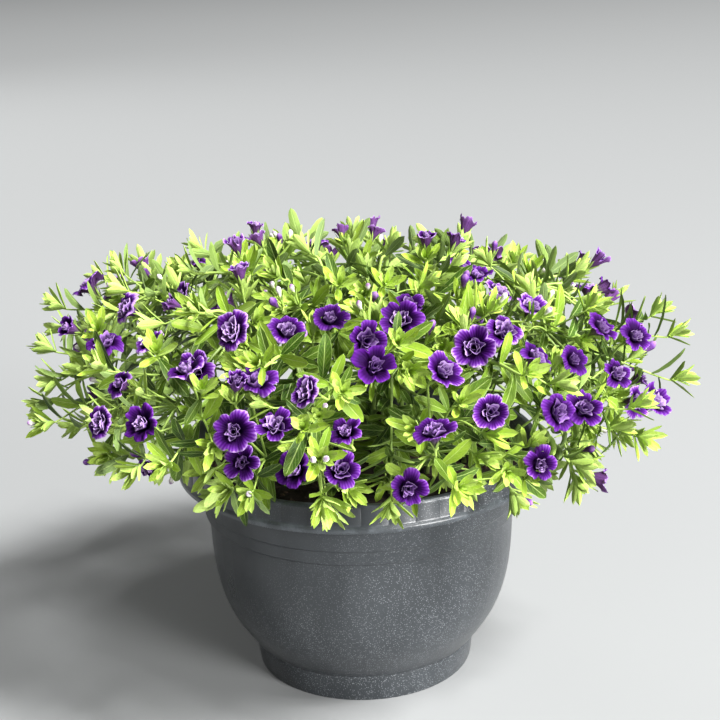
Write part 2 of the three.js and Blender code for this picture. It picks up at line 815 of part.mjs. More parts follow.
function makeSprays(stems, blooms) {
  return stems.map((stem) => {
    const parts = stem.twigs.map(leafyRod);
    for (const bloom of blooms.filter((b) => b.stem === stem)) {
      const { cup, side, top } = bloom;
      const calyx = ring(cup, side, top, CALYX_RADIUS, bloom.separate ? 3 : 5);
      parts.push(loft([...stalkRings(bloom), calyx, ...(bloom.separate ? [] : bloomRings(bloom))]));
    }
    return meshOf(stem.name, join(parts), FOLIAGE);
  });
}

function makeBlooms(blooms) {
  return blooms
    .filter((bloom) => bloom.separate)
    .map((bloom, i) => {
      const base = ring(bloom.neck, bloom.side, bloom.top, 2, 5);
      const name = `bloom_${String(i + 1).padStart(2, "0")}`;
      return meshOf(name, loft([base, ...bloomRings(bloom)]), PETALS);
    });
}

// ---------------------------------------------------------------- the whole plant
const stems = layOutStems();
const blooms = layOutBlooms(stems);
layOutLeaves(stems);

const calibrachoa = new THREE.Group();
calibrachoa.name = "calibrachoa";
calibrachoa.add(makePot(), makeSoil(stems), ...makeSprays(stems, blooms), ...makeBlooms(blooms));

export default calibrachoa;
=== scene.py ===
# %% [markdown]
# # A double-flowered calibrachoa in its bowl pot
#
# A calibrachoa is a small cousin of the petunia: a mound of thin stems with narrow leaves and dozens of
# ruffled flowers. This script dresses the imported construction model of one. The pot and the soil are turned
# shapes. The plant follows a plan that places every shoot, leaf and flower by rule, and each is then drawn
# with its real curves, from a few surfaces worked out with numpy.

import math

import bpy
import numpy as np
from mathutils import Matrix


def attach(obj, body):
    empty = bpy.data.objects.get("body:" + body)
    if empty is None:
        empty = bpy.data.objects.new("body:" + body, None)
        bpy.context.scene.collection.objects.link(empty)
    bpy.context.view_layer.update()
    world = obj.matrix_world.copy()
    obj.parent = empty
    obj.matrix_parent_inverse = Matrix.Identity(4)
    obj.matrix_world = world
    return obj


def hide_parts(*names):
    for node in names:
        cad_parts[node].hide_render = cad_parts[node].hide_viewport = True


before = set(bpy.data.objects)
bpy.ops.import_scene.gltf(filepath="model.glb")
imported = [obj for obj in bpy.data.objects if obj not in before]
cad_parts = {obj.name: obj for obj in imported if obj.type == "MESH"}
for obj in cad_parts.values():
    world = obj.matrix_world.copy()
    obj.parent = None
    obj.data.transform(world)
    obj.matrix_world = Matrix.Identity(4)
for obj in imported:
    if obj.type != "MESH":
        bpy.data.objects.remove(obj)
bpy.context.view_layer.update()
print("packed model:", len(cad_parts), "nodes")

# %% [markdown]
# ## Sizes
#
# A gardener measures a plant in millimetres, and so does this script. Every place below is in millimetres
# from the middle of the pot's foot, with Z up, and a mesh becomes metres only when it is made.

# %% Driving dimensions
MM = 0.001
TAU = 2 * math.pi
GAP = 0.35  # clear space between pieces
SLIVER = 0.05  # slack when the place at a length along a path is looked up

POT_HEIGHT = 174.5
RIM_RADIUS = 135
RIM_FOOT = (118.4, 152)  # radius and height at which the rim's inner face starts
FOOT_RADIUS = 81.5
FOOT_HEIGHT = 18.5
WALL = 3
FLOOR_UNDER = 20.5
FLOOR_TOP = 24.5
DRAIN_HOLES = 8
DRAIN_RADIUS = 5
DRAIN_CIRCLE = 52
BOWL = [(86.5, 23), (95, 35), (102.5, 48), (108.5, 65), (112.4, 88), (114.2, 123)]
COLLAR = [(117.2, 124.6), (118, 134.4), (120.2, 135.6), (121.3, 152)]

SOIL_EDGE = 158
SOIL_CROWN = 162
SOIL_TOP = ([0, 60, 118], [SOIL_CROWN, SOIL_CROWN - 1, SOIL_EDGE])  # radii, and the heights at them

MOUND_WIDTH = 219  # these three are from the pot's axis, to either side, forwards and back
MOUND_FRONT = 211
MOUND_BACK = 206
MOUND_LEVEL = 238  # height at which the mound is widest, and how far it reaches above and below
MOUND_RISE = 64
MOUND_DROP = 55
MOUND_TILT = 0.035  # how fast it gets lower towards the right
MOUND_POWER = 2.7  # 2 would be a plain ellipsoid, and more makes its shoulders fuller
MOUND_HEART = 190  # height from which the shoots look outwards

OUTER_STEMS = 12
INNER_STEMS = 8
OUTER_ROOT_CIRCLE = 74
INNER_ROOT_CIRCLE = 32
STEM_DEPTH = 12
STEM_RADIUS = 1.9
TWIG_RADIUS = 1.15
STALK_RADIUS = 0.85
TIP_STRETCH = 9
TIP_WHORLS = [6.4, 2]  # how far the last two whorls are from the twig's end
LEADER_BEND = 0.35  # share of the way to its tip at which a stem is steered upwards
ARCH_RISE = 12
TWIG_TRIES = 4
TWIG_RISE = 14  # how far a twig arches up on its way, and how much less with each try
TWIG_RISE_LESS = 9

SHOOT_TIPS = 40
GOLDEN_ANGLE = TAU * 0.381966
FIRST_BEARING = 0.4
TOP_SHARE = 0.5
TOP_SPREAD = 0.86
INNER_SPREAD = 0.6
SIDE_START = 0.72
SIDE_END = -0.84
RISE_LIMIT = 0.99

LEAF_LENGTH = 28
LEAF_WIDTH = 9
LEAF_DROOP = 0.22
TIP_LEAF_LENGTH = 19
TIP_LEAF_WIDTH = 5.8
TIP_LEAF_DROOP = 0.12
LEAF_ANGLES = (0.34, 0.72, 0.95)  # radians from the twig: in its last whorl, in the next, and further down
LEAF_TRIES = 4
KEEL_SHARE = 0.13  # depth of a leaf's fold, as a share of its width
WHORL_SPACING = 27
WHORL_HEIGHT = 2.4
WHORL_LEAVES = 3
LEAFY_LENGTH = 58
BARE_FOOT = 8  # length at a twig's foot that carries no leaves

BLOOM_RADIUS = 12.8
BLOOM_DEPTH = 13
THROAT_RADIUS = 4.2
HEAD_HALF_HEIGHT = 5.2
HEAD_DEPTH_SHARE = 0.22  # how far below its face the middle of a flower's box is, as a share of the depth
BLOOM_TRIES = 12
BLOOM_SIZE_SPREAD = 0.13
BLOOM_TURN = 0.65  # how far a flower may look aside
BLOOM_SHIFT = 2.2  # how much further a flower is moved with each try
SEPARATE_BLOOMS = 38
STALK_SHORTEST = 12
STALK_LONGEST = 60
STALK_ROOM = 2  # half size of the box that a stalk must find free
BEHIND_LEAST = 0.35  # cosine of the widest angle between a stalk and the way its flower looks
BEHIND_WEIGHT = 1.8  # a place's distance counts this less the cosine times, so well behind beats near

# %% [markdown]
# ## Draws that repeat
#
# No two leaves on a plant are alike, yet a script has to give the same plant each time it runs. So each
# random number is worked out from two whole numbers, such as a leaf's own number and what is asked about it.
# The plant's plan and the construction model use the same draws, and so they agree on every place. A value
# whose name ends in DRAWS is the number at which one kind of piece starts to count.

# %% Repeatable draws
LOW_32 = np.uint64(0xFFFFFFFF)


def draw(a, b):
    """A number from 0 to 1 for two whole numbers or arrays of them: multiply, fold the bits, and repeat."""
    a = np.asarray(a, np.uint64)
    b = np.asarray(b, np.uint64)
    h = ((a + np.uint64(1)) * np.uint64(0x9E3779B1) ^ (b + np.uint64(1)) * np.uint64(0x85EBCA6B)) & LOW_32
    h = (h ^ h >> np.uint64(15)) * np.uint64(0x2C1B3C6D) & LOW_32
    h = (h ^ h >> np.uint64(12)) * np.uint64(0x297A2D39) & LOW_32
    return (h ^ h >> np.uint64(15)) / 2.0**32


def spread(a, b, size):
    """A draw from -size to +size."""
    return (draw(a, b) * 2 - 1) * size


# %% Vectors
UP = np.array([0.0, 0.0, 1.0])


def unit(v):
    """Each vector divided by its length."""
    return v / np.linalg.norm(v, axis=-1, keepdims=True)


def mix(a, b, t):
    """The point a share t of the way from a to b."""
    return a + (b - a) * t


def frame_of(direction):
    """Two unit vectors square to a direction and to each other: a level one, and the one above it."""
    level = np.array([1.0, 0, 0]) if abs(direction[2]) > 0.95 else UP
    side = unit(np.cross(level, direction))
    return side, np.cross(direction, side)


# %% [markdown]
# ## Room for each piece
#
# Leaves and flowers on a real plant push each other aside. Here each one gets a snug turned box, and a new
# one is placed only where its box is clear of the others. Two boxes are clear of each other if a line exists
# along which their shadows don't meet. Only 15 lines can be that line: the 3 axes of each box and the 9
# cross products between them.

# %% The crowd of boxes
STEM, ROOT, FREE = 0, 1, 2  # roles: a stem, the near half of a leaf, and what may touch nothing
POT_KEEP_OUT = 139  # radius within which nothing comes down on the pot
POT_INSIDE = 112  # radius within which foliage may stand over the soil
POT_CLEARANCE = 2
SOIL_CLEARANCE = 3


class Crowd:
    """The boxes of all that is placed: centre, axes, half sizes, and owner as node, twig and role."""

    def __init__(self, most=20000):
        self.count = 0
        self.centre = np.zeros((most, 3))
        self.axes = np.zeros((most, 3, 3))
        self.half = np.zeros((most, 3))
        self.reach = np.zeros(most)
        self.owner = np.zeros((most, 3), int)

    def add(self, boxes):
        for centre, axes, half, owner in boxes:
            i = self.count
            self.centre[i], self.axes[i], self.half[i], self.owner[i] = centre, axes, half, owner
            self.reach[i] = np.linalg.norm(half)
            self.count += 1

    def meets(self, box, gap):
        """Whether a box comes nearer than the gap to any box that it may not meet."""
        centre, axes, half, (node, twig, role) = box
        n = self.count
        between = self.centre[:n] - centre
        distance = np.sqrt((between**2).sum(1))
        other = self.owner[:n]
        kin = (other[:, 0] == node) & (other[:, 2] != FREE) & (role != FREE)
        kin &= ((other[:, 2] == STEM) & (role == STEM)) | (other[:, 1] == twig)
        near = np.nonzero((distance <= np.linalg.norm(half) + self.reach[:n] + gap) & ~kin)[0]
        if not len(near):
            return False
        theirs = self.axes[near]
        mine = np.broadcast_to(axes, theirs.shape)
        square = np.cross(mine[:, :, None], theirs[:, None]).reshape(-1, 9, 3)
        length = np.linalg.norm(square, axis=2)
        lines = np.concatenate([mine, theirs, square / np.maximum(length, 1e-9)[..., None]], 1)
        usable = np.concatenate([np.ones((len(near), 6), bool), length > 1e-3], 1)
        room = np.abs(np.einsum("nld,nd->nl", lines, between[near])) - gap
        room -= np.abs(np.einsum("nld,kd->nlk", lines, axes)) @ half
        room -= np.einsum("nlk,nk->nl", np.abs(np.einsum("nld,nkd->nlk", lines, theirs)), self.half[near])
        return not ((room > 0) & usable).any(1).all()


def stretch(a, b, side, wide, thick, owner):
    """The box round a straight stretch from a to b, with a side direction and two half sizes."""
    run = b - a
    length = np.linalg.norm(run)
    u = run / length
    w = unit(np.cross(u, side))
    return mix(a, b, 0.5), np.array([u, np.cross(w, u), w]), np.array([length / 2, wide, thick]), owner


CORNERS = np.array([(i, j, k) for i in (-1, 1) for j in (-1, 1) for k in (-1, 1)])


def over_pot(box, inside):
    """Whether a corner of the box comes down on the pot. With inside, it may stand between rim and soil."""
    centre, axes, half, _ = box
    corners = centre + (CORNERS * half) @ axes
    out, height = np.hypot(corners[:, 0], corners[:, 1]), corners[:, 2]
    hit = (height < POT_HEIGHT + POT_CLEARANCE) & (out < POT_KEEP_OUT)
    if inside:
        hit &= (out > POT_INSIDE) | (height < SOIL_CROWN + SOIL_CLEARANCE)
    return bool(hit.any())


crowd = Crowd()


def has_room(boxes, gap=GAP, inside=False):
    """Whether all the boxes are clear of the pot and of the crowd."""
    return not any(over_pot(box, inside) or crowd.meets(box, gap) for box in boxes)


# %% [markdown]
# ## The plan of the plant
#
# The mound is a rounded box of revolution. Shoot tips sit on it in a sunflower spiral, and each tip hangs on
# the rooted stem nearest to its bearing. The stem rises, arches over and turns up again at its end, as the
# real ones do. This is the plan that the construction model was built from, step for step, so that each
# fine leaf and flower takes the place of its plain one.

# %% The mound, the shoot tips and the stems
STRAY_SHOOTS = [
    (-100, 0.8, 1.04), (-95, 0.45, 1.01), (-78, -0.1, 0.96), (86, 0.5, 1.02), (79, -0.1, 1.02),
    (64, -0.5, 1), (55, -0.3, 0.92), (47, -0.62, 0.96), (31, -0.55, 0.98), (17, -0.5, 0.95),
    (7, -0.8, 1), (-7, -0.55, 0.97), (-24, -0.66, 1), (-42, -0.5, 1), (-3, 0.5, 0.94),
    (-6, -0.35, 0.8), (10, -0.62, 0.8), (24, -0.3, 0.82), (-29, -0.4, 0.84),
]


def on_mound(bearing, rise):
    """The mound's surface at a bearing from the front and a rise from -1 to 1: |out|^p + |rise|^p = 1."""
    out = (1 - abs(rise) ** MOUND_POWER) ** (1 / MOUND_POWER)
    y = -out * math.cos(bearing)
    x = MOUND_WIDTH * out * math.sin(bearing)
    level = MOUND_LEVEL + (MOUND_RISE if rise > 0 else MOUND_DROP) * rise - MOUND_TILT * x
    return np.array([x, y * (MOUND_FRONT if y < 0 else MOUND_BACK), level])


def outward(p):
    """The direction out of the mound at a point."""
    return unit(np.array([p[0], p[1], (p[2] - MOUND_HEART) * 1.1]))


def spiral_tip(i, count, first, top_share, jitter):
    """Bearing, rise and reach of a tip in the spiral: over the top first, and on down the sides.

    The bearing turns by the golden angle from tip to tip. Over the top, the way out grows with the square
    root of the tip's number, which spaces tips evenly, and down the sides the rise falls steadily.
    """
    u = (i + 0.5) / count
    bearing = first + i * GOLDEN_ANGLE + spread(i, 1, 0.12 * jitter)
    out = TOP_SPREAD * math.sqrt(min(u / top_share, 1))
    on_top = (1 - out**MOUND_POWER) ** (1 / MOUND_POWER)
    on_side = SIDE_START + (SIDE_END - SIDE_START) * (u - top_share) / (1 - top_share)
    rise = (on_top if u < top_share else on_side) + spread(i, 2, 0.04 * jitter)
    return bearing, rise, 1 + spread(i, 3, 0.035 * jitter), out < INNER_SPREAD and u < top_share


def shoot_tips():
    """All shoot tips as place, bearing and whether a stem of the middle carries them."""
    places = [spiral_tip(i, SHOOT_TIPS, FIRST_BEARING, TOP_SHARE, 1) for i in range(SHOOT_TIPS)]
    places += [(math.radians(bearing), rise, reach, False) for bearing, rise, reach in STRAY_SHOOTS]
    tips = []
    for bearing, rise, reach, inner in places:
        tip = on_mound(bearing, min(rise, RISE_LIMIT))
        tips.append((tip * [reach, reach, 1], bearing, inner))
    return tips


def bend(a, b, c, steps):
    """Points on a quadratic Bezier curve that leaves a, heads for b and ends at c."""
    t = np.linspace(0, 1, steps + 1)[:, None]
    return (1 - t) ** 2 * a + 2 * (1 - t) * t * b + t * t * c


def run_of(path):
    """The length of the path up to each of its points."""
    return np.concatenate([[0], np.cumsum(np.linalg.norm(np.diff(path, axis=0), axis=1))])


def point_along(path, s):
    """The point at a length s along a path, and the direction there."""
    run = run_of(path)
    i = min(max(int(np.searchsorted(run, s - SLIVER)) - 1, 0), len(path) - 2)
    return mix(path[i], path[i + 1], (s - run[i]) / (run[i + 1] - run[i])), unit(path[i + 1] - path[i])


def root_of(inner, k):
    """The foot of a stem, at the bottom of its hole in the soil."""
    bearing = TAU * (k + 0.5) / (INNER_STEMS if inner else OUTER_STEMS)
    circle = (INNER_ROOT_CIRCLE if inner else OUTER_ROOT_CIRCLE) + spread(k, 11 if inner else 12, 6)
    height = np.interp(circle, *SOIL_TOP) - STEM_DEPTH
    return np.array([circle * math.sin(bearing), -circle * math.cos(bearing), height])


def stem_boxes(path, radius, owner):
    """A square box round each straight stretch of a path."""
    pairs = zip(path[:-1], path[1:])
    return [stretch(a, b, frame_of(unit(b - a))[0], radius, radius, owner) for a, b in pairs]


def with_tip(path):
    """The path with a short last stretch that turns up towards the light."""
    axis = unit(path[-1] - path[-2])
    return np.vstack([path, path[-1] + unit(axis + 0.5 * UP) * TIP_STRETCH])


def lay_out_stems():
    """Groups the shoot tips by the rooted stem that they grow from, and lays out every stem and twig."""
    stems = []
    for inner, count in ((False, OUTER_STEMS), (True, INNER_STEMS)):
        for k in range(count):
            name = f"{'inner' if inner else 'outer'}_spray_{k + 1:02d}"
            stems.append({"name": name, "root": root_of(inner, k), "tips": [], "twigs": []})
    for tip, bearing, inner in shoot_tips():
        turn = bearing / TAU % 1
        k = int(turn * (INNER_STEMS if inner else OUTER_STEMS))
        stems[OUTER_STEMS + k if inner else k]["tips"].append(tip)
    for node, stem in enumerate(stems):
        leader = stem["tips"][0]
        collar = stem["root"] + UP * (STEM_DEPTH + 4)
        heading = mix(collar, leader, LEADER_BEND)
        heading[2] = max(leader[2], MOUND_LEVEL) + ARCH_RISE
        path = with_tip(np.vstack([stem["root"], bend(collar, heading, leader, 5)]))
        crowd.add(stem_boxes(path, STEM_RADIUS, (node, 0, STEM)))
        stem["twigs"].append({"path": path, "radius": STEM_RADIUS})
    for node, stem in enumerate(stems):
        for j, tip in enumerate(stem["tips"][1:]):
            for attempt in range(TWIG_TRIES):
                start = stem["twigs"][0]["path"][2 + (j + attempt) % 3]
                heading = mix(start, tip, 0.5) + UP * (TWIG_RISE - TWIG_RISE_LESS * attempt)
                path = with_tip(bend(start, heading, tip, 3))
                room = stem_boxes(path, TWIG_RADIUS, (node, len(stem["twigs"]), STEM))
                if has_room(room):
                    crowd.add(room)
                    stem["twigs"].append({"path": path, "radius": TWIG_RADIUS})
                    break
    return stems


stems = lay_out_stems()
print("stems and twigs:", sum(len(stem["twigs"]) for stem in stems))

# %% [markdown]
# ## Where the flowers stand
#
# The front flowers stand at chosen bearings and rises on the mound, and the back is filled by rule. Each
# looks out of the mound, a little up, and hangs by a thin stalk on the twig that lies best behind it.

# %% The flowers
FRONT_BLOOMS = [
    (-2, 0.27), (12, 0.26), (-8, 0.93), (12, 0.88), (-18, 0.88), (3, 0.84), (-17, 0.69), (-13, 0.53),
    (-10, 0.61), (-4, 0.62), (17, 0.68), (19, 0.46), (-20, 0.19), (-20, -0.06), (-14, -0.02),
    (-11, 0.25), (-2, -0.06), (16, 0.06), (22, 0.36), (8, -0.42), (34, 0.65), (45, 0.6), (35, 0.25),
    (39, 0.05), (47, 0.15), (53, 0.42), (-33, 0.62), (-30, 0.7), (-27, 0.37), (-45, 0.4), (-48, 0.05),
    (-39, 0.12), (-47, 0.71), (-58, 0.62), (71, 0.53), (79, 0.04), (65, 0.7), (-70, 0.78), (4, 0.48),
    (4, 0.73), (26, 0.78), (38, 0.83), (55, -0.11), (72, -0.23), (32, -0.32), (24, 0.98), (60, 0.88),
    (67, 0.94), (111, 0.97), (-87, 0.95), (-37, 0.86), (-67, 0.9), (-97, 0.63),
]
BACK_BLOOMS = 22
BACK_START = 96  # bearing in degrees
BACK_SPAN = 160
BACK_HIGHEST = 0.995
BACK_REACH = 1.2

twig_points = [
    (point, node, twig)
    for node, stem in enumerate(stems)
    for twig, made in enumerate(stem["twigs"])
    for point in made["path"][2:-2]
]
TWIG_PLACES = np.array([point for point, _, _ in twig_points])


def stalk_place(neck, look):
    """The place on any twig that a stalk best grows from: near the flower's neck, and well behind it."""
    run = neck - TWIG_PLACES
    gap = np.linalg.norm(run, axis=1)
    behind = run @ look / gap
    score = gap * (BEHIND_WEIGHT - behind)
    score[(gap < STALK_SHORTEST) | (gap > STALK_LONGEST) | (behind < BEHIND_LEAST)] = np.inf
    best = int(score.argmin())
    return twig_points[best] if np.isfinite(score[best]) else None


def lay_out_blooms():
    """Places the flowers. One that has no room is turned and shifted, further with every attempt."""
    places = [(math.radians(bearing), rise) for bearing, rise in FRONT_BLOOMS]
    for i in range(BACK_BLOOMS):
        # Steps of 61.8 hundredths, the golden ratio's share, keep neighbours in the list far apart.
        bearing = BACK_START + (i * 61.8) % 100 * (BACK_SPAN / 100)
        places.append((math.radians(bearing), BACK_HIGHEST - BACK_REACH * (i + 0.5) / BACK_BLOOMS))
    blooms = []
    for i, (bearing, rise) in enumerate(places):
        face = on_mound(bearing, rise)
        out = outward(face)
        for attempt in range(BLOOM_TRIES):
            turn = [spread(i, 20 + attempt, BLOOM_TURN), spread(i, 40 + attempt, BLOOM_TURN) - 0.1]
            look = unit(out + np.array([*turn, spread(i, 60 + attempt, 0.55) + 0.45]))
            size = 1 + spread(i, 80, BLOOM_SIZE_SPREAD)
            shift = BLOOM_SHIFT * attempt
            centre = face - out * 0.5 * shift
            centre += [spread(i, 100 + attempt, shift), spread(i, 120 + attempt, shift), 0]
            centre += UP * spread(i, 140 + attempt, shift * 0.6)
            neck = centre - look * BLOOM_DEPTH * size
            place = stalk_place(neck, look)
            if place is None:
                continue
            start, node, twig = place
            separate = len(blooms) < SEPARATE_BLOOMS
            own = (1000 + len(blooms) if separate else node, -1, FREE)
            side, top = frame_of(look)
            radius = BLOOM_RADIUS * size
            middle = centre - look * BLOOM_DEPTH * size * HEAD_DEPTH_SHARE
            half = np.array([radius, radius, HEAD_HALF_HEIGHT * size])
            head = (middle, np.array([side, top, look]), half, own)
            tube = stretch(neck, middle, side, THROAT_RADIUS, THROAT_RADIUS, own)
            cup = neck - look * GAP
            stalk = stretch(start, cup, side, STALK_ROOM, STALK_ROOM, (node, twig, STEM))
            if not has_room([head, tube, stalk]):
                continue
            crowd.add([head, tube, stalk])
            blooms.append({
                "neck": neck, "cup": cup, "look": look, "side": side, "top": top, "size": size,
                "start": start, "node": node, "number": i, "open": 1.0, "crumple": 0.0,
                "separate": separate,
            })
            break
    return blooms


blooms = lay_out_blooms()
print("flowers:", len(blooms))

# %% [markdown]
# ## Where the leaves grow
#
# Whorls of three leaves climb each twig. Those at the tip are slender and nearly closed, and the older ones
# are broad and open wide. A leaf that has no room is tried again, turned, opened and shortened.

# %% The leaves of the plan
def lay_out_rings(path):
    """The places along a twig where its leaves grow, each with axes that turn as little as can be."""
    run = run_of(path)
    total = run[-1]
    whorls = [total - from_end for from_end in TIP_WHORLS]
    bare = max(total - LEAFY_LENGTH, BARE_FOOT)
    s = whorls[0] - WHORL_SPACING
    while s > bare:
        whorls.insert(0, s)
        s -= WHORL_SPACING
    places = [
        (s, i, None)
        for i, s in enumerate(run)
        if not any(abs(w - s) < WHORL_HEIGHT for w in whorls)
    ]
    for i, s in enumerate(whorls):
        places += [(s - WHORL_HEIGHT / 2, None, len(whorls) - 1 - i), (s + WHORL_HEIGHT / 2, None, None)]
    places.sort(key=lambda place: place[0])
    rings = []
    side = None
    for s, corner, from_tip in places:
        at, axis = point_along(path, s)
        if corner and corner + 1 < len(path):
            axis = unit(axis + unit(path[corner + 1] - at))
        side = frame_of(axis)[0] if side is None else unit(side - axis * (axis @ side))
        nearest = int(np.abs(np.array(whorls) - s).argmin())
        rings.append({
            "at": at, "axis": axis, "side": side, "top": np.cross(axis, side), "s": s,
            "phase": nearest * TAU / 6, "from_tip": from_tip,
        })
    return rings


def leaf_at(at, axis, side, top, angle, open_, length, width, droop, node, age):
    """A leaf from a place on a twig: its directions along, up and across follow from two angles."""
    away = side * math.cos(angle) + top * math.sin(angle)
    along = axis * math.cos(open_) + away * math.sin(open_)
    upper = axis * math.sin(open_) - away * math.cos(open_)
    return {
        "at": at, "along": along, "upper": upper, "across": np.cross(along, upper), "length": length,
        "width": width, "droop": droop, "node": node, "age": age,
    }


def leaf_boxes(leaf, twig):
    """Two boxes round a leaf: one near its root, and one over its free half."""
    half = leaf["width"] * KEEL_SHARE / 2
    thick = half + 0.02 * leaf["length"]

    def centre(t):
        fall = leaf["upper"] * (leaf["droop"] * leaf["length"] * t * t + half)
        return leaf["at"] + leaf["along"] * leaf["length"] * t - fall

    wide = leaf["width"] / 2
    across = leaf["across"]
    root = stretch(centre(0.12), centre(0.55), across, wide, thick, (leaf["node"], twig, ROOT))
    return [root, stretch(centre(0.5), centre(1), across, wide, thick, (leaf["node"], twig, FREE))]


def lay_out_leaves():
    """The leaves of the plan: first the slender ones in every tip, then the others where room is left."""
    leaves = []
    for stem in stems:
        for twig in stem["twigs"]:
            twig["rings"] = lay_out_rings(twig["path"])
    for at_tip in (True, False):
        for node, stem in enumerate(stems):
            for t, twig in enumerate(stem["twigs"]):
                for r, place in enumerate(twig["rings"]):
                    from_tip = place["from_tip"]
                    if from_tip is None or (from_tip < 2) != at_tip:
                        continue
                    middle = mix(place["at"], twig["rings"][r + 1]["at"], 0.5)
                    for k in range(WHORL_LEAVES):
                        leaf = place_plan_leaf(place, middle, node, t, k)
                        if leaf:
                            leaves.append(leaf)
    return leaves


def place_plan_leaf(place, middle, node, t, k):
    """One leaf of a whorl, or None if no try finds room for it."""
    from_tip = place["from_tip"]
    slender = from_tip < 2
    for attempt in range(LEAF_TRIES):
        draws = (node * 60 + t * 8 + from_tip) * 50 + k * 8 + attempt
        scale = (1 + spread(draws, 1, 0.12)) * (1 - 0.1 * attempt) * (0.85 if from_tip == 0 else 1)
        angle = place["phase"] + TAU * (k + 0.5) / WHORL_LEAVES + spread(draws, 2, 0.12 * (1 + attempt))
        open_ = LEAF_ANGLES[min(from_tip, 2)] + 0.1 * attempt + spread(draws, 3, 0.14)
        length = (TIP_LEAF_LENGTH if slender else LEAF_LENGTH) * scale
        width = (TIP_LEAF_WIDTH if slender else LEAF_WIDTH) * scale
        leaf = leaf_at(
            middle, place["axis"], place["side"], place["top"], angle, open_, length, width,
            TIP_LEAF_DROOP if slender else LEAF_DROOP, node, min(0.1 + 0.22 * from_tip, 1),
        )
        boxes = leaf_boxes(leaf, t)
        if has_room(boxes):
            crowd.add(boxes)
            return leaf
    return None


leaves = lay_out_leaves()
print("leaves of the plan:", len(leaves))

# %% [markdown]
# ## More of the plant than the plan holds
#
# The construction model has the main shoots. The real plant carries many short side shoots between them, a
# tuft of young leaves in each tip, old leaves down the stems, buds, and a few half-open and faded flowers.
# They are placed in the same crowd, flowers and buds before leaves, so they fill the room that is left. Only
# the tufts aren't: young leaves press against each other on the plant too, so they just keep off the pot.

# %% Side shoots
SIDE_SHOOTS = 230
SIDE_FIRST_BEARING = 2.1
SIDE_TOP_SHARE = 0.46
SIDE_SHORTEST = 10
SIDE_LONGEST = 66
SIDE_RADIUS = 0.85
SIDE_RISE_LIMITS = (-0.97, 0.985)
SIDE_TRIES = 6
SIDE_ROOM = 2.2  # half size of the boxes that the end of a side shoot must find free
SIDE_OWNER = 500  # a side shoot's number in the crowd is this much more than its own

side_shoots = []
for i in range(SIDE_SHOOTS):
    bearing, rise, reach, _ = spiral_tip(i, SIDE_SHOOTS, SIDE_FIRST_BEARING, SIDE_TOP_SHARE, 2)
    surface = on_mound(bearing, np.clip(rise, *SIDE_RISE_LIMITS))
    for attempt in range(SIDE_TRIES):
        depth = 1 - 0.07 * attempt - 0.16 * draw(i, 7)
        tip = surface * [reach * depth, reach * depth, 1] - UP * (6 * attempt + 14 * draw(i, 8))
        tip += [spread(i, 30 + attempt, 4 * attempt), spread(i, 50 + attempt, 4 * attempt), 0]
        run = tip - TWIG_PLACES
        gap = np.linalg.norm(run, axis=1)
        score = gap * (BEHIND_WEIGHT - run @ outward(tip) / gap)
        score[(gap < SIDE_SHORTEST) | (gap > SIDE_LONGEST)] = np.inf
        best = int(score.argmin())
        if not np.isfinite(score[best]):
            continue
        start, node, _ = twig_points[best]
        heading = mix(start, tip, 0.5) + UP * 6
        path = with_tip(bend(start, heading, tip, 4))
        owner = (node, SIDE_OWNER + i, STEM)
        if not has_room(stem_boxes(path[-3:], SIDE_ROOM, owner), 0):
            continue
        crowd.add(stem_boxes(path[-3:], SIDE_RADIUS, owner))
        side_shoots.append({"path": path, "node": node, "number": i})
        break
print("side shoots:", len(side_shoots))

# %% Half-open flowers, faded flowers and buds
EXTRA_TRIES = 260
EXTRA_FLOWERS = 26
EXTRA_ROOM = np.array([7.0, 7.0, 4.5])  # half sizes of the box that such a flower must find free
EXTRA_DRAWS = 900
FADED_EVERY = 3
FADED_OPENING = 0.12
OUTERMOST = 1.0  # share of the mound's half width
BUD_TRIES = 420
BUDS = 92
BUD_LENGTH = 12.5
BUD_ROOM = 2.2
YOUNG_SHARE = 0.68
YOUNG_LENGTH = 0.7

hosts = [(shoot["path"], shoot["node"]) for shoot in side_shoots]
hosts += [(twig["path"], node) for node, stem in enumerate(stems) for twig in stem["twigs"]]


def near_a_tip(i, first, back, farthest):
    """A place on a shoot not far from its tip, and a direction out of the mound from there."""
    path, node = hosts[int(draw(i, first) * len(hosts))]
    start, axis = point_along(path, run_of(path)[-1] - back * (0.4 + 0.6 * draw(i, first + 1)))
    turn = [spread(i, first + 2, 0.6), spread(i, first + 3, 0.6), spread(i, first + 4, 0.4)]
    out = unit(outward(start) + axis * 0.5 + turn)
    return start, node, out, start + out * farthest * (0.5 + 0.5 * draw(i, first + 5))


extra = []
for i in range(EXTRA_TRIES):
    if len(extra) == EXTRA_FLOWERS:
        break
    start, node, out, cup = near_a_tip(i, 600, 14, 19)
    look = unit(out + UP * 0.25)
    side, top = frame_of(look)
    size = 0.7 + 0.16 * draw(i, 606)
    middle = cup + look * BLOOM_DEPTH * size
    head = (middle, np.array([side, top, look]), EXTRA_ROOM, (node, -1, FREE))
    if math.hypot(middle[0] / MOUND_WIDTH, middle[1] / MOUND_FRONT) < OUTERMOST and has_room([head], 0):
        crowd.add([head])
        faded = len(extra) % FADED_EVERY == FADED_EVERY - 1
        extra.append({
            "neck": cup + look * GAP, "cup": cup, "look": look, "side": side, "top": top, "size": size,
            "start": start, "node": node, "number": EXTRA_DRAWS + i,
            "open": FADED_OPENING if faded else 0.3 + 0.3 * draw(i, 607), "crumple": 1.0 if faded else 0.0,
            "separate": False,
        })

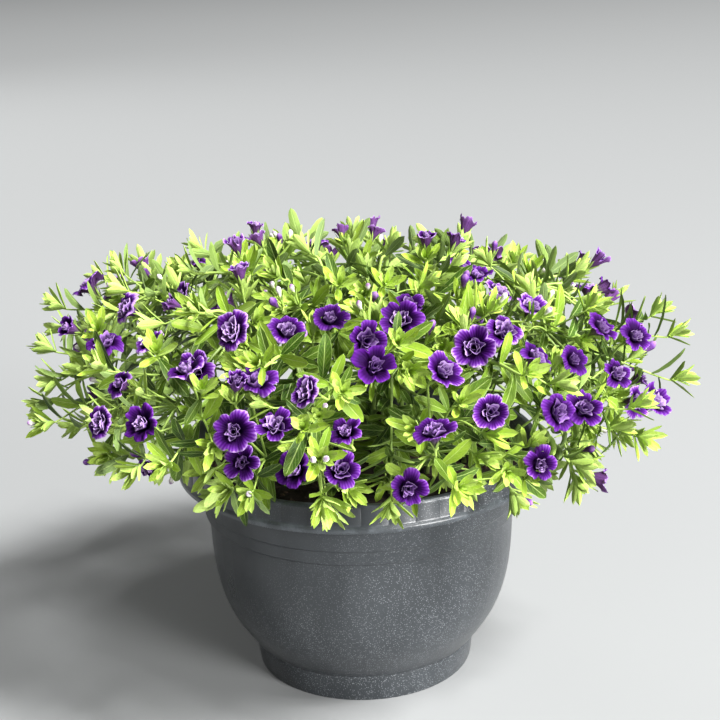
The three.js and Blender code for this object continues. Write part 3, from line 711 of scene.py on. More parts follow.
buds = []
for i in range(BUD_TRIES):
    if len(buds) == BUDS:
        break
    start, node, out, cup = near_a_tip(i, 400, 12, 15)
    young = draw(i, 408) < YOUNG_SHARE
    length = BUD_LENGTH * (YOUNG_LENGTH if young else 1) * (1 + spread(i, 409, 0.18))
    look = unit(out + UP * 0.4)
    side, top = frame_of(look)
    box = stretch(cup, cup + look * (length + 1), side, BUD_ROOM, BUD_ROOM, (node, -1, FREE))
    if has_room([box], 0):
        crowd.add([box])
        buds.append({
            "cup": cup, "look": look, "side": side, "top": top, "start": start, "node": node,
            "length": length, "young": young, "number": i,
        })
print("half-open and faded flowers:", len(extra), "buds:", len(buds))

# %% Leaves of the side shoots
SIDE_LEAF = {"length": 28, "width": 8.8, "droop": 0.28}
SIDE_TIP_LEAF = {"length": 21, "width": 6.2, "droop": 0.14}
SIDE_LEAF_ANGLES = (0.32, 0.66, 0.95)
SIDE_LEAF_DRAWS = 90000


def find_leaf(place, angle, open_, shape, scale, owner, draws, age, attempts=3):
    """A leaf in the room that is left: with every attempt it is turned, opened and shortened a little."""
    node, twig = owner
    for attempt in range(attempts):
        size = scale * (1 - 0.12 * attempt)
        leaf = leaf_at(
            place["at"], place["axis"], place["side"], place["top"],
            angle + spread(draws, 20 + attempt, 0.15 + 0.3 * attempt), open_ + 0.12 * attempt,
            shape["length"] * size, shape["width"] * size, shape["droop"], node, age,
        )
        boxes = leaf_boxes(leaf, twig)
        if has_room(boxes, 0, True):
            crowd.add(boxes)
            return [leaf]
    return []


for shoot in side_shoots:
    for place in lay_out_rings(shoot["path"]):
        from_tip = place["from_tip"]
        if from_tip is None:
            continue
        for k in range(WHORL_LEAVES):
            draws = SIDE_LEAF_DRAWS + shoot["number"] * 60 + from_tip * 12 + k * 4
            leaves += find_leaf(
                place, place["phase"] + TAU * (k + 0.5) / WHORL_LEAVES,
                SIDE_LEAF_ANGLES[min(from_tip, 2)] + spread(draws, 3, 0.16),
                SIDE_TIP_LEAF if from_tip < 2 else SIDE_LEAF,
                (1 + spread(draws, 1, 0.16)) * (0.85 if from_tip == 0 else 1),
                (shoot["node"], SIDE_OWNER + shoot["number"]), draws, min(0.08 + 0.24 * from_tip, 1),
            )
print("leaves with those of the side shoots:", len(leaves))

# %% Young leaves in each tip
TUFT_LEAVES = 7
TUFT_LENGTH = 17
TUFT_DEPTH = 5  # how far below the shoot's end the first of them grows, and how much less with each
TUFT_STEP = 0.75
TUFT_WIDTH_SHARE = 0.30
TUFT_DROOP = 0.1
TUFT_DRAWS = 200000
LOW_TIP = 205  # below it, at the rim, a tip's leaves are longer and spread wider
LOW_TIP_LENGTH = 1.35
LOW_TIP_OPENING = 0.28
TUFT_TRIES = (1, 0.8, 0.6)  # a leaf that would come down on the pot is made shorter, or left out


def tuft(path, node, number):
    """Nearly closed young leaves at a shoot's end, turned by the golden angle from one to the next."""
    axis = unit(path[-1] - path[-2])
    side, top = frame_of(axis)
    low = path[-1][2] < LOW_TIP
    found = []
    for k in range(TUFT_LEAVES):
        draws = TUFT_DRAWS + number * 8 + k
        length = TUFT_LENGTH * (LOW_TIP_LENGTH if low else 1) * (1 - 0.07 * k)
        length = length * (1 + spread(draws, 1, 0.2))
        at = path[-1] - axis * (TUFT_DEPTH - TUFT_STEP * k)
        open_ = 0.52 + LOW_TIP_OPENING * low - 0.06 * k + spread(draws, 2, 0.12)
        angle = k * GOLDEN_ANGLE + spread(draws, 3, 0.2)
        for share in TUFT_TRIES:
            reach = length * share
            width = reach * TUFT_WIDTH_SHARE
            leaf = leaf_at(at, axis, side, top, angle, open_, reach, width, TUFT_DROOP, node, 0.02 * k)
            if not any(over_pot(box, True) for box in leaf_boxes(leaf, number)):
                found.append(leaf)
                break
    return found


for node, stem in enumerate(stems):
    for t, twig in enumerate(stem["twigs"]):
        leaves += tuft(twig["path"], node, node * 10 + t)
for shoot in side_shoots:
    leaves += tuft(shoot["path"], shoot["node"], 1000 + shoot["number"])
print("leaves with the tufts:", len(leaves))

# %% Old leaves down the stems
OLD_LEAF = {"length": 28, "width": 8.6, "droop": 0.34}
OLD_SPACING = 5.5
OLD_LEAF_END = 10  # length at a twig's end that belongs to its young leaves
OLD_LEAF_TRIES = 4
OLD_LEAF_DRAWS = 500000

old_hosts = [
    (twig["path"], node, t, node * 10 + t)
    for node, stem in enumerate(stems)
    for t, twig in enumerate(stem["twigs"])
]
old_hosts += [
    (shoot["path"], shoot["node"], SIDE_OWNER + shoot["number"], 400 + shoot["number"])
    for shoot in side_shoots
]
for path, node, twig, number in old_hosts:
    total = run_of(path)[-1]
    for k, s in enumerate(np.arange(BARE_FOOT, total - OLD_LEAF_END, OLD_SPACING)):
        at, axis = point_along(path, s)
        side, top = frame_of(axis)
        draws = OLD_LEAF_DRAWS + number * 64 + k
        place = {"at": at, "axis": axis, "side": side, "top": top}
        # Ages near 1 give these leaves the darkest green, which is partly painted shade for the plant's
        # interior.
        leaves += find_leaf(
            place, k * GOLDEN_ANGLE + spread(draws, 2, 0.4), 1.0 + spread(draws, 3, 0.3), OLD_LEAF,
            0.8 + 0.3 * draw(draws, 1), (node, twig), draws, 0.75 + 0.25 * draw(draws, 4), OLD_LEAF_TRIES,
        )
print("leaves in all:", len(leaves))

# %% [markdown]
# ## Surfaces as arrays
#
# A leaf, a petal, a stem and the pot are all the same kind of surface: rings of points, one after another
# along a line. A ring that goes round a line makes a tube, a flattened one makes a blade with two faces, and
# a profile that runs up the outside of a cup and back down its inside makes the cup's wall. One function
# turns rings into faces for hundreds of copies at once, and a last one writes the arrays into a mesh.

# %% Rings to faces, and faces to a mesh
def shell(points, look, across=None, along=None, **fields):
    """Closed skins over rings of points, for n copies at once: points is n x rings x points round x 3.

    Each face joins a point to the next one round and to the same two points of the next ring, and a flat
    face closes each end. across gives the pattern's two values for each step round, along the two for each
    step from ring to ring. fields give one number for all, one a copy, or one for each ring of each copy.
    """
    n, rings, around, _ = points.shape
    numbers = np.arange(n * rings * around).reshape(n, rings, around)
    right = np.roll(numbers, -1, 2)
    quads = np.stack([numbers[:, :-1], right[:, :-1], right[:, 1:], numbers[:, 1:]], -1).reshape(-1, 4)
    caps = np.concatenate([numbers[:, 0, ::-1], numbers[:, -1]])
    if across is None:
        steps = np.arange(around + 1) / around
        across = np.stack([steps[:-1], steps[1:]], 1)
    if along is None:
        steps = np.linspace(0, 1, rings)
        along = np.stack([steps[:-1], steps[1:]], 1)
    u = np.broadcast_to(across[None, :, [0, 1, 1, 0]], (rings - 1, around, 4))
    v = np.broadcast_to(along[:, None, [0, 0, 1, 1]], (rings - 1, around, 4))
    pattern = np.broadcast_to(np.stack([u, v], -1), (n, rings - 1, around, 4, 2)).reshape(-1, 4, 2)
    ends = np.zeros((2, n, around, 2))
    ends[0, ..., 1] = along[0, 0]
    ends[1, ..., 1] = along[-1, 1]
    ends[..., 0] = across[0, 0]
    values = {}
    for name, value in fields.items():
        value = np.asarray(value, float)
        value = value.reshape(n, -1, 1) if value.ndim else value
        values[name] = np.broadcast_to(value, (n, rings, around)).ravel()
    return {
        "points": points.reshape(-1, 3), "quads": quads, "caps": caps, "pattern": pattern,
        "ends": ends.reshape(-1, around, 2), "look": look, "values": values,
    }


FIELDS = ("age", "tone")
SOFT_CORNER = 70  # degrees: leaves and petals are shaded smooth over any bend less than this


def make_piece(name, shells, looks, replaced=None, sharp=55):
    """Writes shells into one mesh: corners face by face, pattern as a UV map, fields as attributes."""
    corners, starts, materials, pattern = [], [], [], []
    first_point = 0
    first_corner = 0
    for part in shells:
        for faces, flat in ((part["quads"], part["pattern"]), (part["caps"], part["ends"])):
            size = faces.shape[1]
            corners.append((faces + first_point).ravel())
            starts.append(first_corner + np.arange(len(faces)) * size)
            materials.append(np.full(len(faces), looks.index(part["look"])))
            pattern.append(flat.reshape(-1, 2))
            first_corner += faces.size
        first_point += len(part["points"])
    corners, starts = np.concatenate(corners), np.concatenate(starts)
    points = np.concatenate([part["points"] for part in shells]) * MM
    mesh = bpy.data.meshes.new(name)
    mesh.vertices.add(len(points))
    mesh.vertices.foreach_set("co", points.astype(np.float32).ravel())
    mesh.loops.add(len(corners))
    mesh.loops.foreach_set("vertex_index", corners.astype(np.int32))
    mesh.polygons.add(len(starts))
    mesh.polygons.foreach_set("loop_start", starts.astype(np.int32))
    mesh.polygons.foreach_set("material_index", np.concatenate(materials).astype(np.int32))
    uv = mesh.uv_layers.new(name="pattern")
    uv.uv.foreach_set("vector", np.concatenate(pattern).astype(np.float32).ravel())
    for field in FIELDS:
        kept = [part["values"].get(field, np.zeros(len(part["points"]))) for part in shells]
        mesh.attributes.new(field, "FLOAT", "POINT").data.foreach_set(
            "value", np.concatenate(kept).astype(np.float32)
        )
    for look in looks:
        mesh.materials.append(look)
    mesh.update(calc_edges=True)
    mesh.shade_smooth()
    mesh.set_sharp_from_angle(angle=math.radians(sharp))
    piece = bpy.data.objects.new(name, mesh)
    bpy.context.scene.collection.objects.link(piece)
    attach(piece, "root")
    if replaced:
        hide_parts(replaced)
    return piece


def triangles(piece):
    """The number of triangles in a piece: a face of n corners is n - 2 of them."""
    return sum(len(face.vertices) - 2 for face in piece.data.polygons)


# %% [markdown]
# ## Materials as sums
#
# A material is a small calculation that is done at each point of a surface. Written with nodes it is hard to
# read, so one small class wraps a node's socket: adding, multiplying or comparing two of them adds the node
# that does it. Everything else, such as noise or a colour ramp, comes from one method.

# %% A socket that can be calculated with
class Wire:
    """One value in a material's node tree. Arithmetic on it adds Math nodes."""

    def __init__(self, tree, socket=None):
        self.tree = tree
        self.socket = socket

    def node(self, kind, settings=None, inputs=None, output=0):
        """Adds a node of a type, with its settings first and then the values or wires of its sockets."""
        made = self.tree.nodes.new("ShaderNode" + kind)
        for name, value in (settings or {}).items():
            if name == "stops":
                stops = made.color_ramp.elements
                while len(stops) < len(value):
                    stops.new(0.5)
                for stop, (place, colour) in zip(stops, value):
                    stop.position = place
                    stop.color = (*colour, 1)
            else:
                setattr(made, name, value)
        for name, value in (inputs or {}).items():
            if isinstance(value, Wire):
                self.tree.links.new(value.socket, made.inputs[name])
            else:
                made.inputs[name].default_value = value
        return Wire(self.tree, made.outputs[output])

    def math(self, operation, *others):
        return self.node("Math", {"operation": operation}, dict(enumerate([self, *others])))

    def __add__(self, other):
        return self.math("ADD", other)

    def __sub__(self, other):
        return self.math("SUBTRACT", other)

    def __mul__(self, other):
        return self.math("MULTIPLY", other)

    def __truediv__(self, other):
        return self.math("DIVIDE", other)

    def __rsub__(self, other):
        return self.node("Math", {"operation": "SUBTRACT"}, {0: other, 1: self})

    def __gt__(self, other):
        return self.math("GREATER_THAN", other)

    def __lt__(self, other):
        return self.math("LESS_THAN", other)

    def clamp(self):
        return self.node("Clamp", {}, {0: self})

    def smooth(self, low, high):
        """0 below low, 1 above high, and an S-shaped rise between."""
        settings = {"interpolation_type": "SMOOTHSTEP"}
        return self.node("MapRange", settings, {"Value": self, "From Min": low, "From Max": high})

    def ramp(self, stops):
        return self.node("ValToRGB", {"stops": stops}, {0: self})

    def blend(self, a, b, how="MIX"):
        """Colour a where this value is 0, and b, or a with b worked into it, where it is 1."""
        a, b = (value if isinstance(value, Wire) else (*value, 1) for value in (a, b))
        settings = {"data_type": "RGBA", "blend_type": how}
        return self.node("Mix", settings, {0: self, 6: a, 7: b}, 2)


def begin(name):
    """A new material with only a Principled shader in it."""
    material = bpy.data.materials.new(name)
    material.use_nodes = True
    return material, Wire(material.node_tree)


def finish_material(material, colour, roughness, constants, height=None, depth=0.0, strength=1.0):
    """Feeds the shader its colour, roughness and constants, and its relief through a Bump node."""
    tree = material.node_tree
    shader = tree.nodes["Principled BSDF"]
    for name, value in (("Base Color", colour), ("Roughness", roughness)):
        if isinstance(value, Wire):
            tree.links.new(value.socket, shader.inputs[name])
        else:
            shader.inputs[name].default_value = value
    for name, value in constants.items():
        shader.inputs[name].default_value = value
    if height is not None:
        bump = Wire(tree).node("Bump", {}, {"Height": height, "Distance": depth, "Strength": strength})
        tree.links.new(bump.socket, shader.inputs["Normal"])
    return material


def object_noise(wire, scale, detail=3, roughness=0.55, stretch_z=1.0):
    """Smooth noise through the solid, in steps of 1 / scale metres, drawn out along Z by a factor."""
    place = wire.node("TexCoord", output=3)
    if stretch_z != 1:
        place = wire.node("Mapping", {}, {"Vector": place, "Scale": (1, 1, 1 / stretch_z)})
    inputs = {"Vector": place, "Scale": scale, "Detail": detail, "Roughness": roughness}
    return wire.node("TexNoise", {}, inputs)


def uv_parts(wire):
    """The two values of a piece's own pattern."""
    place = wire.node("UVMap", {"uv_map": "pattern"})
    return wire.node("SeparateXYZ", {}, {0: place}, 0), wire.node("SeparateXYZ", {}, {0: place}, 1)


def field(wire, name):
    """One of a piece's own fields, such as its age."""
    return wire.node("Attribute", {"attribute_name": name}, output=2)


# %% [markdown]
# ## The pot
#
# A moulded bowl of charcoal plastic with fine pale flecks. Moulding leaves a turned shape with soft edges,
# a turned-down rim with thin ribs behind it that show as upright lines, and drain holes in the floor. So it
# is a profile turned about Z, its corners rounded by short curves, with columns of points gathered at each
# rib. Only the holes are cut, because they cross the rings.

# %% Profiles: smooth stretches and rounded corners
def smooth_curve(points, steps):
    """A Catmull-Rom curve: each stretch is a cubic, and at a point it runs as its two neighbours lie."""
    points = np.asarray(points, float)
    padded = np.vstack([2 * points[0] - points[1], points, 2 * points[-1] - points[-2]])
    p0, p1, p2, p3 = (padded[i : i + len(points) - 1, None] for i in range(4))
    t = (np.arange(steps) / steps)[None, :, None]
    cubic = (-p0 + 3 * p1 - 3 * p2 + p3) * t**3 + (2 * p0 - 5 * p1 + 4 * p2 - p3) * t**2
    curve = 0.5 * (cubic + (p2 - p0) * t + 2 * p1)
    return np.vstack([curve.reshape(-1, points.shape[1]), points[-1]])


def rounded(profile, radius, steps=3):
    """Each corner replaced by a quadratic curve that starts and ends a radius from it."""
    out = [profile[:1]]
    for before, corner, after in zip(profile[:-2], profile[1:-1], profile[2:]):
        back, on = before - corner, after - corner
        cut = min(radius, 0.42 * np.linalg.norm(back), 0.42 * np.linalg.norm(on))
        out.append(bend(corner + unit(back) * cut, corner, corner + unit(on) * cut, steps))
    return np.vstack([*out, profile[-1:]])


def turned(profile, angles, look, press=None):
    """Rings of points about Z for a profile of radius and height, each pressed in by an optional formula."""
    radius, height = profile[:, 0, None], profile[:, 1, None]
    if press is not None:
        radius = radius - press(radius, height, angles[None])
    around = np.stack([radius * np.cos(angles), radius * np.sin(angles), height + 0 * angles], -1)
    return shell(around[None], look)


# %% The pot's plastic
FLECK_SCALE = 820  # cells in a metre
PLASTIC_DARK = (0.019, 0.022, 0.025)
PLASTIC_LIGHT = (0.043, 0.048, 0.053)
FLECK = (0.25, 0.265, 0.28)
WORN_EDGE = (0.12, 0.135, 0.15)

pot_plastic, wire = begin("charcoal_flecked_plastic")
place = wire.node("TexCoord", output=3)
x = wire.node("SeparateXYZ", {}, {0: place}, 0)
y = wire.node("SeparateXYZ", {}, {0: place}, 1)
z = wire.node("SeparateXYZ", {}, {0: place}, 2)
out_from_axis = (x * x + y * y).math("SQRT")
flecks = wire.node("TexVoronoi", {}, {"Vector": place, "Scale": FLECK_SCALE, "Randomness": 1})
more_below = (z * -1).smooth(-0.13, -0.02) * 0.5 + x.smooth(-0.06, 0.12) * 0.5
patchy = object_noise(wire, 14)
fleck = (flecks * -1).smooth(-0.32, -0.12) * (patchy + more_below * 0.7).smooth(0.35, 0.95)
haze = object_noise(wire, 30, 5, 0.6, 5)
body = (haze * 0.7 + patchy * 0.3).ramp([(0.3, PLASTIC_DARK), (0.72, PLASTIC_LIGHT)])
bead = z.smooth(0.1535, 0.156) * (z * -1).smooth(-0.162, -0.159) * out_from_axis.smooth(0.1315, 0.134)
lip = z.smooth(0.171, 0.1742)
scuffs = object_noise(wire, 90, 6, 0.7).smooth(0.42, 0.66)
worn = ((bead * 0.5 + lip * 0.35) * (scuffs * 0.75 + 0.25)).clamp()
colour = worn.blend(fleck.blend(body, FLECK), WORN_EDGE)
pot_rough = haze * 0.16 + 0.23 + fleck * 0.18 + worn * 0.12
grain = object_noise(wire, 1500, 2) * 0.4 + haze * 0.6
finish_material(pot_plastic, colour, pot_rough, {"Specular IOR Level": 0.5}, grain, 0.0004, 0.25)

# %% The pot's shape
RIBS = 46
RIB_DEPTH = 0.3
RIB_HALF_WIDTH = 0.35
RIB_COLUMNS = np.array([-0.5, 0, 0.5, 9]) / RIM_RADIUS
RIB_BAND = (160.5, POT_HEIGHT - 1)  # heights between which the ribs show, on the rim's outer face
RIB_FACE = 131.9
CORNER_RADIUS = 0.8
POLE = 0.5  # radius of the small flat face that closes a turned shape at its middle
POT_CORNER = 35  # degrees: bends sharper than this stay sharp in the shading

inner_bowl = [(r - WALL, z + WALL * 0.6) for r, z in reversed(BOWL)]
under = [(POLE, FLOOR_UNDER), (FOOT_RADIUS - 4, FLOOR_UNDER), (FOOT_RADIUS - 3, 0), (FOOT_RADIUS, 0)]
foot = [(FOOT_RADIUS + 2.5, FOOT_HEIGHT), (FOOT_RADIUS + 2.1, FOOT_HEIGHT + 2)]
rim = [
    (127.5, 166), (131.4, 166), (132.6, 154.6), (RIM_RADIUS, 155.2), (RIM_RADIUS, 158.4), (133.4, 160),
    (132.8, POT_HEIGHT - 1.5), (131.6, POT_HEIGHT), (128, POT_HEIGHT), RIM_FOOT,
]
floor_top = [(FOOT_RADIUS - 1.5, FLOOR_TOP), (POLE, FLOOR_TOP)]
bowl_curve = smooth_curve(BOWL, 3)
inner_curve = smooth_curve(inner_bowl, 2)
profile = rounded(
    np.vstack([under, foot, bowl_curve, COLLAR, rim, inner_curve, floor_top]), CORNER_RADIUS, 2
)
rib_angles = ((np.arange(RIBS) * TAU / RIBS)[:, None] + RIB_COLUMNS).ravel() - TAU / 4


def rib_press(radius, height, angles):
    """A thin upright groove at each rib's angle on the rim's outer face: a bell curve across."""
    off = (angles + TAU / 4 + math.pi / RIBS) % (TAU / RIBS) - math.pi / RIBS
    groove = np.exp(-((off * RIM_RADIUS / RIB_HALF_WIDTH) ** 2))
    on_band = (height > RIB_BAND[0]) & (height < RIB_BAND[1]) & (radius > RIB_FACE)
    return RIB_DEPTH * groove * on_band


bowl = turned(profile, rib_angles, pot_plastic, rib_press)
pot = make_piece("pot_bowl", [bowl], [pot_plastic], "pot", POT_CORNER)

# %% Drain holes
HOLE_SIDES = 24
DRILL_SLACK = 4

hole_ring = np.arange(HOLE_SIDES) * TAU / HOLE_SIDES
hole_angles = np.arange(DRAIN_HOLES) * TAU / DRAIN_HOLES
hole_centres = DRAIN_CIRCLE * np.stack([np.cos(hole_angles), np.sin(hole_angles)], 1)
circle = DRAIN_RADIUS * np.stack([np.cos(hole_ring), np.sin(hole_ring)], 1)
drill_points = np.zeros((DRAIN_HOLES, 2, HOLE_SIDES, 3))
drill_points[..., :2] = hole_centres[:, None, None] + circle
drill_points[..., 2] = np.array([FLOOR_UNDER - DRILL_SLACK, FLOOR_TOP + DRILL_SLACK])[:, None]
drill = make_piece("drill", [shell(drill_points, pot_plastic)], [pot_plastic])
cut = pot.modifiers.new("drain_holes", "BOOLEAN")
cut.operation = "DIFFERENCE"
cut.object = drill
bpy.context.view_layer.update()
drilled = bpy.data.meshes.new_from_object(pot.evaluated_get(bpy.context.evaluated_depsgraph_get()))
pot.modifiers.clear()
pot.data = drilled
bpy.data.objects.remove(drill)
print("pot triangles:", triangles(pot))

# %% [markdown]
# ## Potting soil
#
# Peat is dark, coarse and uneven. Its top is a height that varies smoothly with x and y, a sum of waves in
# many directions, so the same formula also tells where a crumb lies. Loose crumbs are small twenty-sided
# lumps, each stretched by its own draws and pressed partly into the surface.

# %% The soil's look
soil_look, wire = begin("dark_peat")
clods = object_noise(wire, 130, 6, 0.7)
fibres = object_noise(wire, 420, 4, 0.65)
tone = field(wire, "tone")
earth = (clods * 0.6 + fibres * 0.3 + tone * 0.25).ramp(
    [(0.28, (0.006, 0.004, 0.003)), (0.55, (0.022, 0.014, 0.009)), (0.86, (0.085, 0.055, 0.034))]
)
finish_material(soil_look, earth, 0.92, {"Specular IOR Level": 0.25}, clods * 0.6 + fibres * 0.4, 0.0015, 0.8)

# %% The soil's shape
SOIL_WAVES = 22
SHORTEST_WAVE = 6
WAVE_RANGE = 40
WAVE_SIZE = 0.11
SOIL_AROUND = 128
SOIL_RINGS = 44
SOIL_RADIUS = 119.6

wave = np.arange(SOIL_WAVES)
wave_angle = TAU * draw(wave, 500)
wave_number = TAU / (SHORTEST_WAVE + WAVE_RANGE * draw(wave, 501) ** 2)
wave_height = WAVE_SIZE / np.sqrt(wave_number)
wave_phase = TAU * draw(wave, 502)


def soil_height(x, y):
    """Height of the soil: the crown's slope, and waves of many directions and lengths added together."""
    along = x[..., None] * np.cos(wave_angle) + y[..., None] * np.sin(wave_angle)
    lumps = (wave_height * np.sin(along * wave_number + wave_phase)).sum(-1)
    return np.interp(np.hypot(x, y), *SOIL_TOP) + lumps


inside = [(POLE, FLOOR_TOP + GAP), (FOOT_RADIUS - 2.5, FLOOR_TOP + GAP)]
inside += [(r - GAP, z) for r, z in [*inner_bowl[::-1], RIM_FOOT]]
side_radius, side_height = np.array(inside).T[..., None]
angles = np.arange(SOIL_AROUND) * TAU / SOIL_AROUND
side_rings = np.stack(
    [side_radius * np.cos(angles), side_radius * np.sin(angles), side_height + 0 * angles], -1
)
# The square root makes all rings of the top equally large in area.
top_radius = SOIL_RADIUS * np.sqrt(np.linspace(1, 0, SOIL_RINGS))[:-1]
top_x, top_y = top_radius[:, None] * np.cos(angles), top_radius[:, None] * np.sin(angles)
top_rings = np.stack([top_x, top_y, soil_height(top_x, top_y)], -1)
soil_skin = shell(np.concatenate([side_rings, top_rings])[None], soil_look)
soil = make_piece("soil_bed", [soil_skin], [soil_look], "soil")

# %% Crumbs of peat
CRUMBS = 600
SMALLEST_CRUMB = 0.7
LARGEST_CRUMB = 3.4
CRUMB_REACH = 114
CRUMB_CORNER = 20  # degrees
CRUMB_DRAWS = 7000
GOLD = (1 + math.sqrt(5)) / 2
icosahedron = np.array([(0, s, t * GOLD) for s in (-1, 1) for t in (-1, 1)])
icosahedron = unit(np.vstack([icosahedron, icosahedron[:, [2, 0, 1]], icosahedron[:, [1, 2, 0]]]))
gaps = np.linalg.norm(icosahedron[:, None] - icosahedron[None], axis=2)
touch = (gaps > 0) & (gaps < 1.1)
sides = np.array([
    (i, j, k)
    for i in range(12) for j in range(i) for k in range(j)
    if touch[i, j] and touch[j, k] and touch[i, k]
])
a, b, c = (icosahedron[sides[:, n]] for n in range(3))
inwards = (np.cross(b - a, c - a) * a).sum(1) < 0
sides[inwards] = sides[inwards][:, [0, 2, 1]]


def loose_faces(corners, faces, look, tone):
    """Many copies of a small solid: corners is n x points x 3, and faces holds each one's triangles."""
    n, size, _ = corners.shape
    triangles = (faces[None] + size * np.arange(n)[:, None, None]).reshape(-1, 3)
    return {
        "points": corners.reshape(-1, 3), "quads": triangles, "caps": np.zeros((0, 3), int),
        "pattern": np.zeros((len(triangles), 3, 2)), "ends": np.zeros((0, 3, 2)), "look": look,
        "values": {"tone": np.repeat(np.broadcast_to(tone, n), size)},
    }


def scatter_lumps(count, first, smallest, largest, reach, material):
    """Twenty-sided lumps on the soil: each corner is pushed in or out by its own draw, and half is buried."""
    number = first + np.arange(count)
    radius = smallest + (largest - smallest) * draw(number, 1) ** 2.5
    corners = icosahedron[None] * (1 + spread(number[:, None] * 12 + np.arange(12), 2, 0.28))[..., None]
    corners = corners * (radius[:, None] * (1 + spread(number[:, None] * 3 + np.arange(3), 3, 0.35)))[:, None]
    bearing, out = TAU * draw(number, 4), reach * np.sqrt(draw(number, 5))
    x, y = out * np.cos(bearing), out * np.sin(bearing)
    centre = np.stack([x, y, soil_height(x, y) + 0.15 * radius], -1)
    return loose_faces(corners + centre[:, None], sides, material, draw(number, 6))


lumps = scatter_lumps(CRUMBS, CRUMB_DRAWS, SMALLEST_CRUMB, LARGEST_CRUMB, CRUMB_REACH, soil_look)
crumbs = make_piece("soil_crumbs", [lumps], [soil_look], None, CRUMB_CORNER)
print("soil triangles:", triangles(soil), "crumbs:", triangles(crumbs))

# %% [markdown]
# ## Leaves
#
# A calibrachoa leaf is a small folded blade: narrow where it joins the stem, widest past its middle and
# bluntly pointed. It could be a flat card with a picture on it, but then it would have no edge and no back.
# Here it is a closed blade 0.4 mm thick. Its half width along its length is a product of two powers, its fold
# is deepest at the midrib, and its edge waves a little.

# %% Leaf looks
YOUNG = (0.44, 0.59, 0.125)
FRESH = (0.32, 0.465, 0.045)
GROWN = (0.180, 0.295, 0.020)
# The oldest leaves, deep inside the plant: a darker green, made nearly black as painted shade for the
# interior.
OLD_AND_SHADED = (0.024, 0.058, 0.003)

leaf_look, wire = begin("leaf")
u, v = uv_parts(wire)
below = u > 1.5
rib = ((u - below * 2 - 0.5) * 2).math("ABSOLUTE")
age, tone = field(wire, "age"), field(wire, "tone")
blotch = object_noise(wire, 110, 3)
# Leaves darken from young to old, and the oldest colour is partly painted shade.
green = (age + (blotch - 0.5) * 0.3 + (tone - 0.5) * 0.3 + (1 - v) * 0.12).clamp().ramp(
    [(0.0, YOUNG), (0.3, FRESH), (0.62, GROWN), (1.0, OLD_AND_SHADED)]
)
# A pale midrib, and a pale band along the margin that is partly the leaf's own pale edge and partly a painted
# highlight.
pale = (1 - rib.smooth(0.02, 0.13)) * (1 - v.smooth(0.8, 1.0)) * 0.42 + rib.smooth(0.88, 1.0) * 0.4
veins = ((v * 10 - rib * 2.2) * TAU).math("SINE").smooth(0.72, 1.0) * (1 - rib.smooth(0.7, 0.95))
green = (veins * 0.11 + pale).clamp().blend(green, (0.50, 0.63, 0.20))
web = object_noise(wire, 620, 3, 0.6)
green = (web.smooth(0.52, 0.66) * 0.3).blend(green, (0.10, 0.20, 0.012))
green = (below * 0.35).blend(green, (0.30, 0.40, 0.16))
finish_material(
    leaf_look, green, blotch * 0.2 + 0.38 + below * 0.14, {"Specular IOR Level": 0.2},
    veins * -0.4 - (1 - rib.smooth(0.0, 0.16)) * 0.8 + blotch * 0.5, 0.0005, 0.7,
)

# %% Leaf shape
LEAF_RINGS = np.array([0, 0.07, 0.19, 0.35, 0.52, 0.68, 0.83, 0.94, 1.0])
LEAF_THICKNESS = 0.4
# Places across a leaf from edge to edge, first over it and then back under it. Small ones do with four.
BROAD_ACROSS = (np.array([-1, -0.5, 0, 0.5, 1]), np.array([0.5, 0, -0.5]))
SMALL_ACROSS = (np.array([-1, 0, 1]), np.array([0]))


def leaf_outline(s):
    """Share of the half width at a share s of the length: s (1 - s)^0.65, scaled to 1, on a thin stalk."""
    peak = (1 / 1.65) * (0.65 / 1.65) ** 0.65
    return 0.17 * (1 - s) ** 2 + 0.98 * s * np.maximum(1 - s, 2e-4) ** 0.65 / peak


def of_all(made, *keys):
    """The values of each key for a list of leaves or flowers, as arrays with room for rings and points."""
    values = [np.array([item[key] for item in made], float) for key in keys]
    return [value[:, None, None] for value in values]


def blades(made, material, numbers, rings, places, outline=leaf_outline, wave=0.05, fold=KEEL_SHARE):
    """Closed folded blades for a list of leaves: each ring runs over the top of the blade and back under it.

    s goes along a leaf from 0 to 1 and t across it from -1 to 1. The blade sinks as s^2, its fold rises from
    the midrib as |t|^1.6, and its edge waves as a sine of s that grows with |t|^1.5.
    """
    at, along, upper, across = of_all(made, "at", "along", "upper", "across")
    length, width, droop, age = of_all(made, "length", "width", "droop", "age")
    over, under = places
    s = rings[None, :, None]
    t = np.concatenate([over, under])[None, None]
    on_top = (np.arange(t.size) < len(over))[None, None]
    phase = TAU * draw(numbers, 70)[:, None, None]
    curl = spread(numbers, 71, 0.5)[:, None, None]
    half = width / 2 * outline(s)
    sag = droop * length * s**2 * (1 + 0.3 * curl * (s - 1))
    lift = -fold * width * outline(s) * (1 - np.abs(t) ** 1.6)
    lift = lift + wave * width * np.abs(t) ** 1.5 * np.sin(TAU * 1.6 * s + phase + t) * s
    rib = np.where(np.abs(t) < 0.1, 1, 0) * 0.25 * (1 - s)
    lift = lift - (1 - on_top) * (LEAF_THICKNESS * (1 - 0.3 * s) + rib)
    sway = 0.05 * length * curl * s**2
    points = (
        at + along * (length * s * np.ones_like(t))[..., None]
        + across * (half * t + sway)[..., None] + upper * (lift - sag)[..., None]
    )
    steps_over = np.linspace(0, 1, len(over))
    steps_under = 3 - np.linspace(0, 1, len(under) + 2)
    ring_steps = [*zip(steps_over[:-1], steps_over[1:]), *zip(steps_under[:-1], steps_under[1:])]
    return shell(points, material, np.array(ring_steps), None, age=age, tone=draw(numbers, 72))


# %% [markdown]
# ## Stems and stalks
#
# Stems are tubes along the plan's lines. A line of a few straight stretches would show its corners, so each
# is first drawn as a smooth curve through the same points. The tube's rings stand square to the curve and
# get smaller towards its tip. Real stems are sticky with short hairs, which are thin spikes here, because
# they catch the light along a stem's edge.

